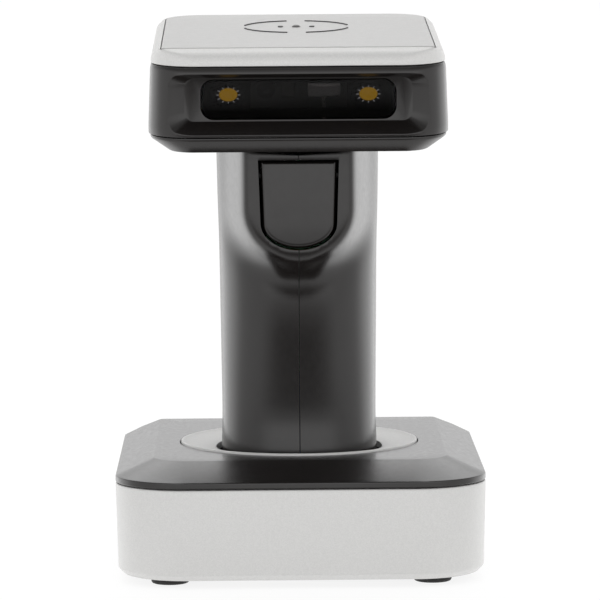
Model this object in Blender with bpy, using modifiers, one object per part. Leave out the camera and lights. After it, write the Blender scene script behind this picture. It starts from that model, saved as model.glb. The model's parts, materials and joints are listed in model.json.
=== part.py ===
"""Cordless barcode scanner standing in its charging cradle, as separate solids.

Frame: +Z up, the scan window looks along -Y, and the origin is on the table under
the middle of the cradle. Numbers are millimetres, and MM turns them into metres
where a mesh is made. Heights below are counted from a level LIFT above the table.
Parts of the head are placed in the head's own pitched frame, which starts at the
middle of its front face on the lower seam: x across, y back, z up.
"""

import math

import bmesh
import bpy
from mathutils import Vector

MM = 0.001
GAP = 0.3  # clearance between neighbouring solids
LIFT = 1.0  # height above the table of the level that heights are counted from

# Cradle
BASE_HALF_WIDTH = 48.5
BASE_HALF_DEPTH = 53.5
BASE_CORNER, BASE_BACK_CORNER = 19.0, 6.0
FOOT_RADIUS = 5.0
FOOT_X, FOOT_Y = 34.3, 39.5
SHELL_LOW = 1.2
SHELL_HIGH = 25.0
SHELL_WALL = 3.0
SHELL_CHAMFER = 1.5
SHELL_TAPER = 0.55  # the cradle's silver shell is narrower at the bottom
PLATE_HIGH = SHELL_LOW + 2.4
RIM_LOW = SHELL_HIGH + GAP
RIM_HIGH = 26.9
COVER_HIGH = 31.1
COVER_WALL = 2.2
SLOPE_SIDE, SLOPE_FRONT, SLOPE_BACK = 10.0, 13.0, 3.5
RING_RADIUS = 31.8
WELL_WALL = 2.0
WELL_CLEARANCE = 1.1
WELL_FLOOR = 11.0
FLANGE_RADIUS = 34.0
BASE_SCREW_X, BASE_SCREW_Y = 38.0, 30.0
CONTACT_X, CONTACT_Y = 5.0, -4.0
SOCKET_X, SOCKET_LOW, SOCKET_HIGH = 5.9, 9.6, 17.2  # mouth of the cable socket

# Handle
HANDLE_LOW = WELL_FLOOR + GAP
CAP_HIGH = 13.7
HANDLE_WALL = 2.0
SEAM_HALF_GAP = 0.06  # half the gap between the two halves of the grip
HANDLE_CENTRE = -4.0  # y of the widest line of the grip
# height, half width, front y, back y
HANDLE_STATIONS = (
    (11.3, 20.0, -24.6, 16.4),
    (30.0, 20.8, -25.4, 17.2),
    (38.0, 20.6, -24.6, 16.8),
    (52.0, 20.7, -26.2, 16.6),
    (70.0, 20.9, -28.8, 17.6),
    (80.0, 21.0, -28.6, 18.8),
    (90.0, 21.15, -24.6, 20.6),
    (100.0, 21.4, -22.4, 23.2),
    (112.0, 21.6, -22.0, 28.4),
    (124.0, 21.7, -22.0, 32.0),
)
FRONT_POWER, BACK_POWER = 2.2, 2.6
BOSS_FRONT = -36.4  # face of the raised surround of the trigger
BOSS_HALF_WIDTH = 14.4
BOSS_ARC_HEIGHT = 96.0
BOSS_ARC_DROP = 12.8
BOSS_SIDE_SLOPE, BOSS_UNDER_SLOPE = 4.2, 1.1
BOSS_ROUNDING = 0.9
BOSS_BLEND = 6.0
BOSS_ROOF = 109.3  # underside of the top of the surround
# x, z of the top of the surround, from its middle out to where it joins the neck
BOSS_TOP = ((0.0, 110.3), (10.5, 111.0), (12.5, 111.5), (14.0, 112.4), (15.2, 113.9), (15.8, 116.0))
NECK_FRONT = -21.5  # y of the front of the neck behind the surround
HANDLE_TOP = -5.05  # in the head's frame
HANDLE_SCREWS = ((9.0, 32.0), (9.0, 68.0), (12.0, 102.0))  # y, z
POST_RADIUS = 3.4

# Trigger and switch
TRIGGER_HIGH = 108.9
TRIGGER_ARC_HEIGHT = 92.6
TRIGGER_ARC_DROP = 6.4
TRIGGER_HALF_TOP, TRIGGER_HALF_LOW = 9.9, 9.35
TRIGGER_FRONT, TRIGGER_BACK = -37.0, -34.6
TRIGGER_CLEARANCE, TRIGGER_TOP_CLEARANCE = 0.65, 0.2
PIVOT_Y, PIVOT_Z = -31.2, 105.0
PIVOT_RADIUS = 1.0
SWITCH_Z = 92.0
SPRING_Z = 98.0

# Head
HEAD_PITCH = math.radians(4.5)
HEAD_ORIGIN = (0.0, -52.4, 115.9)
HEAD_LENGTH = 88.0
HEAD_HALF_LOW, HEAD_HALF_HIGH = 38.75, 38.2
HEAD_CORNER = 12.0
HEAD_FLOOR = -4.15
UNDERCUT_SIDE, UNDERCUT_FRONT = 4.9, 2.3
OVERHANG = 0.5  # how far the body stands out past the lower shell
BODY_HIGH = 18.1
COVER_LOW = BODY_HIGH + 0.15
TOP_HEIGHT = 22.4
PANEL_HALF_WIDTH = 35.4
PANEL_FRONT, PANEL_BACK = 6.0, 84.8
EMBLEM_Y = 53.0  # middle of the raised marks on the top panel
EMBLEM_RADIUS, EMBLEM_LINE, EMBLEM_HIGH = 14.1, 0.4, 22.85
NOSE_DEPTH = 9.6
FUNNEL_DEPTH = 5.0
WINDOW_HALF_WIDTH = 25.2
WINDOW_LOW, WINDOW_HIGH = 4.0, 14.5
WINDOW_CORNER = 3.4
CLEAR_LEFT, CLEAR_RIGHT, CLEAR_LOW, CLEAR_HIGH = -12.3, 12.5, 6.7, 13.4
LED_X, LED_Z = 18.0, 10.2
MIRROR_X, MIRROR_Y, MIRROR_Z = 6.7, 15.0, 10.6
HEAD_SCREWS = ((-25.0, 15.5), (25.0, 15.5), (-25.0, 74.0), (25.0, 74.0))

ROUND_STEPS = 24
CORNER_STEPS = 6


# ---------------------------------------------------------------- scene helpers
def start_scene():
    """Empties the scene and makes the two collections."""
    for obj in list(bpy.data.objects):
        bpy.data.objects.remove(obj)
    made = []
    for name in ("barcode_scanner", "cutters"):
        collection = bpy.data.collections.new(name)
        bpy.context.scene.collection.children.link(collection)
        made.append(collection)
    return made


PARTS, CUTTERS = start_scene()


def principled(name, colour, roughness, metallic=0.0):
    material = bpy.data.materials.new(name)
    material.use_nodes = True
    shader = material.node_tree.nodes["Principled BSDF"]
    shader.inputs["Base Color"].default_value = (*colour, 1.0)
    shader.inputs["Roughness"].default_value = roughness
    shader.inputs["Metallic"].default_value = metallic
    material.diffuse_color = (*colour, 1.0)
    return material


BLACK = principled("black_plastic", (0.035, 0.032, 0.031), 0.38)
SILVER = principled("silver_paint", (0.63, 0.62, 0.61), 0.35, 0.45)
GREY = principled("grey_plastic", (0.16, 0.16, 0.16), 0.55)
RUBBER = principled("rubber", (0.02, 0.02, 0.02), 0.85)
PALE = principled("pale_seal", (0.78, 0.78, 0.76), 0.5)
GLASS = principled("window_glass", (0.05, 0.04, 0.04), 0.05)
AMBER = principled("amber_lens", (0.35, 0.2, 0.01), 0.25)
STEEL = principled("steel", (0.55, 0.55, 0.56), 0.3, 1.0)
GOLD = principled("gold_contact", (0.83, 0.6, 0.22), 0.25, 1.0)
BOARD = principled("circuit_board", (0.02, 0.14, 0.06), 0.45)
CELL = principled("battery_wrap", (0.05, 0.16, 0.4), 0.4)
MIRROR = principled("mirror", (0.9, 0.9, 0.92), 0.03, 1.0)


def frame_empty(name, location=(0, 0, 0), pitch=0.0):
    empty = bpy.data.objects.new(name, None)
    empty.location = Vector(location) * MM
    empty.rotation_euler = (pitch, 0, 0)
    PARTS.objects.link(empty)
    return empty


WORLD = frame_empty("cradle_frame", (0, 0, LIFT))
SCANNER = frame_empty("scanner_frame", (0, 0, LIFT))
HEAD = frame_empty("head_frame", HEAD_ORIGIN, HEAD_PITCH)
HEAD.parent = SCANNER


def place(name, mesh, material, parent, location=(0, 0, 0), rotation=(0, 0, 0)):
    """An object of the model, located in its parent's frame."""
    obj = bpy.data.objects.new(name, mesh)
    if material and not mesh.materials:
        mesh.materials.append(material)
    obj.location = Vector(location) * MM
    obj.rotation_euler = rotation
    obj.parent = parent
    PARTS.objects.link(obj)
    return obj


def helper(obj):
    """Makes obj a cutter or an addition: it shapes others and isn't a part."""
    PARTS.objects.unlink(obj)
    CUTTERS.objects.link(obj)
    obj.hide_render = True
    obj.display_type = "WIRE"
    return obj


def boolean(target, other, operation):
    if other.name not in CUTTERS.objects:
        helper(other)
    modifier = target.modifiers.new(other.name, "BOOLEAN")
    modifier.object = other
    modifier.operation = operation
    modifier.solver = "EXACT"


def carve(target, *cutters):
    for cutter in cutters:
        boolean(target, cutter, "DIFFERENCE")


def fuse(target, *additions):
    for addition in additions:
        boolean(target, addition, "UNION")


def bevel(obj, width, segments=1, angle=50):
    modifier = obj.modifiers.new("bevel", "BEVEL")
    modifier.width = width * MM
    modifier.segments = segments
    modifier.limit_method = "ANGLE"
    modifier.angle_limit = math.radians(angle)


def evaluated_mesh(obj):
    """The mesh of obj with its modifiers, or its curve's surface, with caps welded."""
    bpy.context.view_layer.update()
    graph = bpy.context.evaluated_depsgraph_get()
    mesh = bpy.data.meshes.new_from_object(obj.evaluated_get(graph))
    work = bmesh.new()
    work.from_mesh(mesh)
    bmesh.ops.remove_doubles(work, verts=work.verts, dist=0.00001)
    work.to_mesh(mesh)
    work.free()
    return mesh


def shade_round(obj, angle=32):
    obj.data.shade_smooth()
    obj.data.set_sharp_from_angle(angle=math.radians(angle))
    return obj


# ---------------------------------------------------------------- shape makers
def box(name, low, high, material=None, parent=WORLD):
    low, high = Vector(low), Vector(high)
    work = bmesh.new()
    bmesh.ops.create_cube(work, size=1.0)
    bmesh.ops.scale(work, vec=(high - low) * MM, verts=work.verts)
    mesh = bpy.data.meshes.new(name)
    work.to_mesh(mesh)
    work.free()
    return place(name, mesh, material, parent, (low + high) / 2)


def cylinder(name, radius, start, end, material=None, parent=WORLD, steps=ROUND_STEPS):
    """A round bar from the middle of one end to the middle of the other."""
    start, end = Vector(start), Vector(end)
    work = bmesh.new()
    bmesh.ops.create_cone(
        work,
        cap_ends=True,
        segments=steps,
        radius1=radius * MM,
        radius2=radius * MM,
        depth=(end - start).length * MM,
    )
    mesh = bpy.data.meshes.new(name)
    work.to_mesh(mesh)
    work.free()
    turn = (end - start).to_track_quat("Z", "Y").to_euler()
    return shade_round(place(name, mesh, material, parent, (start + end) / 2, turn))


def slab(name, outlines, low, high, material=None, parent=WORLD, facing="Z"):
    """A flat outline, with any holes as further outlines, given thickness.

    Facing Z it lies level between two heights. Facing Y it stands upright between
    two depths, with its outline's second number as height."""
    curve = bpy.data.curves.new(name, "CURVE")
    curve.dimensions = "2D"
    curve.fill_mode = "BOTH"
    curve.extrude = (high - low) / 2 * MM
    for outline in outlines:
        spline = curve.splines.new("POLY")
        spline.points.add(len(outline) - 1)
        for point, (x, y) in zip(spline.points, outline):
            point.co = (x * MM, y * MM, 0, 1)
        spline.use_cyclic_u = True
    drawn = bpy.data.objects.new(name + "_outline", curve)
    PARTS.objects.link(drawn)
    mesh = evaluated_mesh(drawn)
    mesh.name = name
    bpy.data.objects.remove(drawn)
    middle = (low + high) / 2
    if facing == "Y":
        return place(name, mesh, material, parent, (0, middle, 0), (math.pi / 2, 0, 0))
    return place(name, mesh, material, parent, (0, 0, middle))


def loft(name, rings, material=None, parent=WORLD):
    """A closed skin through rings with the same number of points."""
    work = bmesh.new()
    loops = [[work.verts.new(Vector(p) * MM) for p in ring] for ring in rings]
    for lower, upper in zip(loops, loops[1:]):
        for i in range(len(lower)):
            j = (i + 1) % len(lower)
            work.faces.new((lower[i], lower[j], upper[j], upper[i]))
    work.faces.new(loops[0][::-1])
    work.faces.new(loops[-1])
    bmesh.ops.recalc_face_normals(work, faces=work.faces)
    mesh = bpy.data.meshes.new(name)
    work.to_mesh(mesh)
    work.free()
    return shade_round(place(name, mesh, material, parent))


def turned(name, profile, material=None, parent=WORLD, closed=False, steps=ROUND_STEPS):
    """A (radius, height) profile turned about Z, listed down its outer side."""
    points = [(r * MM, 0, z * MM) for r, z in profile]
    edges = [(i, i + 1) for i in range(len(points) - 1)]
    if closed:
        edges.append((len(points) - 1, 0))
    mesh = bpy.data.meshes.new(name)
    mesh.from_pydata(points, edges, [])
    obj = place(name, mesh, material, parent)
    modifier = obj.modifiers.new("turn", "SCREW")
    modifier.steps = steps
    modifier.render_steps = steps
    modifier.use_merge_vertices = True
    modifier.merge_threshold = 0.00001
    modifier.use_smooth_shade = True
    return obj


# ---------------------------------------------------------------- outlines
def rounded_box(half_width, front, back, front_radius, back_radius, steps=CORNER_STEPS):
    """Outline of a box with rounded corners, from (x, y) at the back right."""
    corners = (
        (half_width - back_radius, back - back_radius, back_radius, 0),
        (back_radius - half_width, back - back_radius, back_radius, 90),
        (front_radius - half_width, front + front_radius, front_radius, 180),
        (half_width - front_radius, front + front_radius, front_radius, 270),
    )
    outline = []
    for x, y, radius, first in corners:
        for i in range(steps + 1):
            angle = math.radians(first + 90 * i / steps)
            outline.append((x + radius * math.cos(angle), y + radius * math.sin(angle)))
    return outline


def base_outline(inset, front=None, back=None):
    """Outline of the base. The front and the back can be set in differently."""
    front = inset if front is None else front
    back = inset if back is None else back
    return rounded_box(
        BASE_HALF_WIDTH - inset, front - BASE_HALF_DEPTH, BASE_HALF_DEPTH - back,
        BASE_CORNER - inset, max(BASE_BACK_CORNER - inset, 1.0),
    )


def level(outline, height):
    return [(x, y, height) for x, y in outline]


def ellipse(x, y, half_width, half_height, steps=20):
    turn = 2 * math.pi / steps
    return [
        (x + half_width * math.cos(i * turn), y + half_height * math.sin(i * turn))
        for i in range(steps)
    ]


def along(stations, height, column):
    """Value of one column of a table of stations, on a smooth curve through them."""
    rows = [(row[0], row[column]) for row in stations]
    k = max(i for i in range(len(rows) - 1) if rows[i][0] <= height or i == 0)
    (z0, v0), (z1, v1) = rows[k], rows[k + 1]

    def slope(i):
        low, high = max(i - 1, 0), min(i + 1, len(rows) - 1)
        return (rows[high][1] - rows[low][1]) / (rows[high][0] - rows[low][0])

    t = (height - z0) / (z1 - z0)
    bend0, bend1 = slope(k) * (z1 - z0), slope(k + 1) * (z1 - z0)
    return (
        (2 * t**3 - 3 * t**2 + 1) * v0
        + (t**3 - 2 * t**2 + t) * bend0
        + (3 * t**2 - 2 * t**3) * v1
        + (t**3 - t**2) * bend1
    )


def front_depth(x, height, inset):
    """y of the front of the grip: a rounded oval joined to the trigger's surround.

    The surround is a flat face with a U-shaped edge. Past that edge it falls back
    steeply at the sides and gently underneath."""
    half = along(HANDLE_STATIONS, height, 1) - inset
    reach = HANDLE_CENTRE - along(HANDLE_STATIONS, height, 2) - inset
    share = min(1.0, abs(x) / half)
    oval = HANDLE_CENTRE - reach * (1 - share**FRONT_POWER) ** (1 / FRONT_POWER)
    edge = BOSS_HALF_WIDTH - inset
    drop = max(0.0, BOSS_ARC_HEIGHT - height) * edge / (BOSS_ARC_DROP - inset)
    away = math.hypot(x, drop)
    sideways = abs(x) / away if away else 1.0
    slope = BOSS_UNDER_SLOPE + (BOSS_SIDE_SLOPE - BOSS_UNDER_SLOPE) * sideways**2
    outside = away - edge
    fall = slope * (outside + math.hypot(outside, BOSS_ROUNDING)) / 2
    boss = BOSS_FRONT + inset + fall
    blend = max(0.0, 1 - abs(oval - boss) / BOSS_BLEND)
    return min(oval, boss) - blend**2 * BOSS_BLEND / 4


def handle_section(height, inset=0.0, points=40):
    """Outline of the grip at a height."""
    half = along(HANDLE_STATIONS, height, 1) - inset
    back = along(HANDLE_STATIONS, height, 3) - inset
    outline = []
    for i in range(points):
        angle = 2 * math.pi * i / points
        c, s = math.cos(angle), math.sin(angle)
        power = FRONT_POWER if s < 0 else BACK_POWER
        x = half * math.copysign(abs(c) ** (2 / power), c)
        if s < 0:
            y = front_depth(x, height, inset)
        else:
            y = HANDLE_CENTRE + (back - HANDLE_CENTRE) * abs(s) ** (2 / power)
        outline.append((x, y))
    return outline


def half_width_at(y, height):
    """Half the width of the back part of the grip at a depth and a height."""
    half = along(HANDLE_STATIONS, height, 1)
    back = along(HANDLE_STATIONS, height, 3)
    share = (y - HANDLE_CENTRE) / (back - HANDLE_CENTRE)
    return half * (1 - share**BACK_POWER) ** (1 / BACK_POWER)


def grip_ring(height, inset=0.0):
    return level(handle_section(height, inset), height)


def trigger_outline(grow=0.0, steps=12):
    """Front view of the trigger, square at the top and round at the bottom."""
    half = TRIGGER_HALF_LOW + grow
    drop = TRIGGER_ARC_DROP + grow
    high = TRIGGER_HIGH + min(grow, TRIGGER_TOP_CLEARANCE)
    outline = [(TRIGGER_HALF_TOP + grow, high), (-TRIGGER_HALF_TOP - grow, high)]
    for i in range(steps + 1):
        angle = math.pi + math.pi * i / steps
        outline.append(
            (half * math.cos(angle), TRIGGER_ARC_HEIGHT + drop * math.sin(angle))
        )
    return outline


def head_ring(height, half_width, front, back, front_corner=None):
    corner = max(HEAD_CORNER + half_width - HEAD_HALF_LOW, 3.0)
    outline = rounded_box(half_width, front, back, front_corner or corner, corner)
    return level(outline, height)


# ---------------------------------------------------------------- fasteners
def screw_mesh(name, head_radius, head_height, shank_radius, length):
    """A pan-head screw that points down -Z from the underside of its head."""
    tip = length - 1.2
    profile = (
        (0, head_height),
        (head_radius * 0.75, head_height),
        (head_radius, head_height * 0.55),
        (head_radius, 0),
        (shank_radius, 0),
        (shank_radius, -tip),
        (0, -length),
    )
    body = turned(name + "_body", profile, STEEL, steps=16)
    recess = cylinder(
        name + "_recess", 1.05, (0, 0, head_height * 0.35), (0, 0, 5), steps=6
    )
    carve(body, recess)
    mesh = evaluated_mesh(body)
    mesh.name = name
    bpy.data.objects.remove(body)
    bpy.data.objects.remove(recess)
    return mesh


# ---------------------------------------------------------------- cradle
def make_base_shell():
    rings = [
        level(base_outline(SHELL_CHAMFER + SHELL_TAPER), SHELL_LOW),
        level(base_outline(SHELL_TAPER), SHELL_LOW + SHELL_CHAMFER),
        level(base_outline(0), SHELL_HIGH),
    ]
    shell = loft("base_shell", rings, SILVER)
    hollow = slab("shell_hollow", [base_outline(SHELL_WALL)], 0, 40)
    mouth = box("shell_mouth", (-7.2, 45, 8.3), (7.2, 60, 18.5))
    carve(shell, hollow, mouth)


def make_bottom_plate():
    plate = slab(
        "base_bottom_plate", [base_outline(SHELL_WALL + GAP)], SHELL_LOW, PLATE_HIGH, GREY
    )
    for i, (x, y) in enumerate(four_places(FOOT_X, FOOT_Y)):
        seat = cylinder(
            f"foot_seat_{i}", FOOT_RADIUS + GAP, (x, y, 0), (x, y, 2.2), steps=20
        )
        carve(plate, seat)
    for i, (x, y) in enumerate(four_places(BASE_SCREW_X, BASE_SCREW_Y)):
        seat = cylinder(f"plate_counterbore_{i}", 3.0, (x, y, 0), (x, y, 2.6), steps=16)
        hole = cylinder(f"plate_hole_{i}", 1.65, (x, y, 0), (x, y, 9), steps=16)
        carve(plate, seat, hole)


def four_places(x, y):
    return [(-x, -y), (x, -y), (-x, y), (x, y)]


def make_feet():
    for (x, y), name in zip(
        four_places(FOOT_X, FOOT_Y),
        ("front_left", "front_right", "rear_left", "rear_right"),
    ):
        profile = ((0, 2.9), (FOOT_RADIUS, 2.9), (FOOT_RADIUS, 0.5), (4.5, 0), (0, 0))
        foot = turned(f"foot_{name}", profile, RUBBER, steps=20)
        foot.location = Vector((x, y, -LIFT)) * MM


def make_base_screws():
    mesh = screw_mesh("base_screw", 2.6, 0.9, 1.25, 9.5)
    for i, (x, y) in enumerate(four_places(BASE_SCREW_X, BASE_SCREW_Y)):
        place(f"base_screw_{i + 1}", mesh, STEEL, WORLD, (x, y, 2.3), (math.pi, 0, 0))


def make_base_cover():
    rings = [
        level(base_outline(0), RIM_LOW),
        level(base_outline(0), RIM_HIGH),
        level(base_outline(SLOPE_SIDE, SLOPE_FRONT, SLOPE_BACK), COVER_HIGH),
    ]
    inner = [
        level(base_outline(COVER_WALL), RIM_LOW - 2),
        level(base_outline(COVER_WALL), RIM_HIGH - 0.9),
        level(
            base_outline(SLOPE_SIDE + 1.2, SLOPE_FRONT + 1.2, SLOPE_BACK + 1.2),
            COVER_HIGH - COVER_WALL,
        ),
    ]
    cover = loft("base_cover", rings, BLACK)
    carve(cover, loft("cover_hollow", inner))
    for i, (x, y) in enumerate(four_places(BASE_SCREW_X, BASE_SCREW_Y)):
        post = cylinder(
            f"cover_post_{i}", 3.2, (x, y, PLATE_HIGH + GAP), (x, y, COVER_HIGH - 1)
        )
        hole = cylinder(f"cover_post_hole_{i}", 1.6, (x, y, 0), (x, y, 14.5), steps=16)
        fuse(cover, post)
        carve(cover, hole)
    carve(cover, cylinder("ring_seat", RING_RADIUS + GAP, (0, 0, 20), (0, 0, 40), steps=48))


def well_rings(inset, low, high):
    return [grip_ring(low, inset), grip_ring((low + high) / 2, inset), grip_ring(high, inset)]


def make_docking_ring():
    profile = (
        (31.2, 31.6),
        (RING_RADIUS, 31.3),
        (RING_RADIUS, 28.4),
        (12.0, 28.4),
        (12.0, 30.1),
        (24.0, 30.6),
        (30.6, 31.4),
    )
    ring = turned("docking_ring", profile, SILVER, closed=True, steps=48)
    opening = loft("ring_opening", well_rings(-1.4, 26, 34))
    notch = box("ring_notch", (-10.2, -29.2, 26), (10.2, -20, 34))
    carve(ring, opening, notch)


def make_socket_well():
    low = WELL_FLOOR - WELL_WALL
    outer = WELL_CLEARANCE + WELL_WALL
    well = loft("socket_well", well_rings(-outer, low, 27), BLACK)
    flange = cylinder("well_flange", FLANGE_RADIUS, (0, 0, 26.4), (0, 0, 28.1), steps=32)
    fuse(well, flange)
    carve(well, loft("well_hollow", well_rings(-WELL_CLEARANCE, WELL_FLOOR, 32)))
    for side in (-1, 1):
        x = side * CONTACT_X
        hole = cylinder(f"well_hole_{side}", 1.9, (x, CONTACT_Y, 5), (x, CONTACT_Y, 13))
        carve(well, hole)


def make_contacts():
    block = box("contact_block", (-9, -8, 7.3), (9, 0, 8.7), GREY)
    for side, word in ((-1, "left"), (1, "right")):
        x = side * CONTACT_X
        foot = (x, CONTACT_Y, 8)
        sleeve = cylinder(f"sleeve_{word}", 1.5, foot, (x, CONTACT_Y, WELL_FLOOR), steps=16)
        fuse(block, sleeve)
    for side, word in ((-1, "left"), (1, "right")):
        x = side * CONTACT_X
        bore = cylinder(
            f"sleeve_bore_{word}", 0.98, (x, CONTACT_Y, 7.6), (x, CONTACT_Y, 15), steps=16
        )
        carve(block, bore)
        profile = ((0, 12.1), (0.5, 11.95), (0.72, 11.5), (0.72, 8.8), (0, 8.8))
        pin = turned(f"contact_pin_{word}", profile, GOLD, steps=12)
        pin.location = Vector((x, CONTACT_Y, 0)) * MM


def make_base_board():
    board = box("base_board", (-30, -12, 5.4), (30, 35.6, 7.0), BOARD)
    chips = (
        ((-26, 23, 6.8), (-14, 34, 8.6)),
        ((12, 22.5, 6.8), (20, 30.5, 8.2)),
        ((22, 20, 6.8), (28, 26, 10.2)),
        ((-10, 24, 6.8), (-4, 27, 7.9)),
        ((-28, -9, 6.8), (-20, -3, 8.0)),
        ((20, -9, 6.8), (27, -5, 7.8)),
    )
    for i, (low, high) in enumerate(chips):
        fuse(board, box(f"base_chip_{i}", low, high))


def make_cable_socket():
    socket = box("cable_socket", (-7.8, 36.2, 7.3), (7.8, 50.2, 20.4), GREY)
    mouth = box(
        "socket_mouth", (-SOCKET_X, 40, SOCKET_LOW), (SOCKET_X, 60, SOCKET_HIGH)
    )
    latch_slot = box(
        "socket_latch_slot", (-2.6, 42, SOCKET_HIGH - 1), (2.6, 60, SOCKET_HIGH + 1.6)
    )
    carve(socket, mouth, latch_slot)


def make_ballast():
    for side, word in ((-1, "left"), (1, "right")):
        xs = sorted((side * 32.5, side * 43.5))
        bar = box(f"ballast_{word}", (xs[0], -24, 4.9), (xs[1], 24, 15), STEEL)
        bevel(bar, 0.8)


# ---------------------------------------------------------------- handle
def above_handle():
    """Everything above the sloping joint between grip and head."""
    return box("above_handle", (-60, -40, HANDLE_TOP), (60, 130, 60), None, HEAD)


def above_surround():
    """Everything above the trigger's surround, in front of the neck."""
    right = [*BOSS_TOP, (BOSS_TOP[-1][0], 130.0)]
    left = [(-x, z) for x, z in right[:0:-1]]
    return slab("above_surround", [right + left], -60, NECK_FRONT, facing="Y")


def grip_hollow(name, heights, roof):
    """Inside of the grip, which stays behind the front of the neck above the roof."""
    hollow = loft(name, [grip_ring(h, HANDLE_WALL) for h in heights])
    back = NECK_FRONT + HANDLE_WALL
    carve(hollow, box(f"{name}_end", (-30, -60, roof), (30, back, 140)))
    return hollow


def make_handle_shells():
    outer = [CAP_HIGH + GAP, 22, 30, 38, 45, 52, 61, 68, 73, 77, 80, 83, 86, 90, 96]
    outer += [106, 114, 124]
    inner = (10, 30, 42, 55, 70, 78, 84, 90, 98, 110, 124)
    above = above_handle()
    surround_end = above_surround()
    hollow = grip_hollow("grip_hollow", inner, BOSS_ROOF)
    pocket = slab(
        "trigger_pocket", [trigger_outline(TRIGGER_CLEARANCE)], -45, -26, facing="Y"
    )
    pin_hole = cylinder(
        "pin_hole", PIVOT_RADIUS + 0.2, (-13.9, PIVOT_Y, PIVOT_Z), (13.9, PIVOT_Y, PIVOT_Z),
        steps=16,
    )
    for side, word in ((-1, "left"), (1, "right")):
        shell = loft(
            f"handle_{word}_shell", [grip_ring(h) for h in outer], BLACK
        )
        xs = sorted((-side * 40, side * SEAM_HALF_GAP))
        other_half = box(f"not_{word}", (xs[0], -60, 0), (xs[1], 60, 140))
        carve(shell, other_half, hollow, above, surround_end, pocket, pin_hole)
        for i, (y, z) in enumerate(HANDLE_SCREWS):
            start, end = side * 0.9, side * (half_width_at(y + POST_RADIUS, z) - 0.5)
            post = cylinder(
                f"{word}_post_{i}", POST_RADIUS, (start, y, z), (end, y, z), steps=16
            )
            reach = side * (40 if side < 0 else 11)
            hole = cylinder(
                f"{word}_post_hole_{i}", 1.6, (0, y, z), (reach, y, z), steps=12
            )
            fuse(shell, post)
            carve(shell, hole)
            if side < 0:
                seat = screw_seat(y, z)
                sink = cylinder(
                    f"{word}_sink_{i}", 3.0, (seat, y, z), (-30, y, z), steps=16
                )
                carve(shell, sink)


def screw_seat(y, z):
    """x of the bottom of the recess for a grip screw."""
    return 2.0 - half_width_at(y + POST_RADIUS, z)


def make_handle_screws():
    mesh = screw_mesh("handle_screw", 2.5, 1.3, 1.25, 20.0)
    for i, (y, z) in enumerate(HANDLE_SCREWS):
        place(
            f"handle_screw_{i + 1}", mesh, STEEL, SCANNER, (screw_seat(y, z) - 0.2, y, z),
            (0, -math.pi / 2, 0),
        )


def make_end_cap():
    rings = [
        grip_ring(HANDLE_LOW, 1.0),
        grip_ring(HANDLE_LOW + 1.0, 0.0),
        grip_ring(CAP_HIGH, 0.0),
    ]
    cap = loft("handle_end_cap", rings, BLACK)
    lip = loft("cap_lip", [grip_ring(12.6, 2.4), grip_ring(17, 2.4)])
    lip_hollow = loft("cap_lip_hollow", [grip_ring(CAP_HIGH, 3.8), grip_ring(20, 3.8)])
    fuse(cap, lip)
    carve(cap, lip_hollow)
    for side, word in ((-1, "left"), (1, "right")):
        x = side * CONTACT_X
        hole = cylinder(f"pad_hole_{word}", 2.3, (x, CONTACT_Y, 8), (x, CONTACT_Y, 16))
        carve(cap, hole)
        pad = cylinder(
            f"charge_pad_{word}", 2.0, (x, CONTACT_Y, 12.4), (x, CONTACT_Y, 14.2), GOLD
        )
        pad.parent = SCANNER


def make_neck_gasket():
    """Pale seal between the top of the grip and the underside of the head."""
    low, high = HANDLE_TOP + 0.25, HEAD_FLOOR - 0.2
    gasket = loft("neck_gasket", [grip_ring(h, 0.45) for h in (106, 112, 118, 124)], PALE)
    front = (-30, -60, 100), (30, NECK_FRONT + 0.45, 140)
    carve(
        gasket,
        grip_hollow("gasket_hollow", (105, 112, 118, 123.9), 90),
        box("gasket_front", *front),
        box("gasket_above", (-60, -40, high), (60, 130, 60), None, HEAD),
        box("gasket_below", (-60, -40, -60), (60, 130, low), None, HEAD),
    )


def make_battery():
    y, radius = -7.0, 9.2
    profile = (
        (0, 84.6),
        (3.0, 84.6),
        (3.0, 83.4),
        (radius - 0.6, 83.4),
        (radius, 82.8),
        (radius, 18.9),
        (radius - 0.4, 18.5),
        (0, 18.5),
    )
    cell = turned("battery_cell", profile, CELL, SCANNER)
    cell.location = Vector((0, y, 0)) * MM


def make_handle_board():
    board = box("handle_board", (-8.5, -22, 52), (8.5, -20.4, 102), BOARD, SCANNER)
    chips = (
        ((-6, -20.6, 56), (5, -18.8, 66)),
        ((-7, -20.6, 70), (-2, -19.2, 76)),
        ((1, -20.6, 70), (7, -19.0, 77)),
        ((-4, -20.6, 81), (4, -18.9, 86)),
    )
    for i, (low, high) in enumerate(chips):
        fuse(board, box(f"handle_chip_{i}", low, high, None, SCANNER))
    body = box(
        "switch_body", (-3.1, -25.6, SWITCH_Z - 3.1), (3.1, -22.3, SWITCH_Z + 3.1), GREY,
        SCANNER,
    )
    bore = cylinder(
        "switch_bore", 1.95, (0, -30, SWITCH_Z), (0, -22.7, SWITCH_Z), steps=20
    )
    carve(body, bore)
    cylinder(
        "switch_plunger", 1.6, (0, -27.3, SWITCH_Z), (0, -24.1, SWITCH_Z), AMBER, SCANNER,
        steps=20,
    )


def make_ribbon():
    """Flat cable from the grip's board, up through the neck, onto the main board."""
    route = ((-19.4, 90), (-19.0, 98), (-17.6, 106), (-17.4, 118), (-18.0, 125.5),
             (-17.2, 129.4), (-14.5, 130.6), (-10.0, 130.9))
    half = 4.5
    mesh = bpy.data.meshes.new("ribbon_cable")
    work = bmesh.new()
    rows = [[work.verts.new(Vector((x, y, z)) * MM) for x in (-half, half)] for y, z in route]
    for low, high in zip(rows, rows[1:]):
        work.faces.new((low[0], low[1], high[1], high[0]))
    work.to_mesh(mesh)
    work.free()
    ribbon = place("ribbon_cable", mesh, PALE, SCANNER)
    thick = ribbon.modifiers.new("thickness", "SOLIDIFY")
    thick.thickness = 0.35 * MM
    thick.offset = 0


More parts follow.
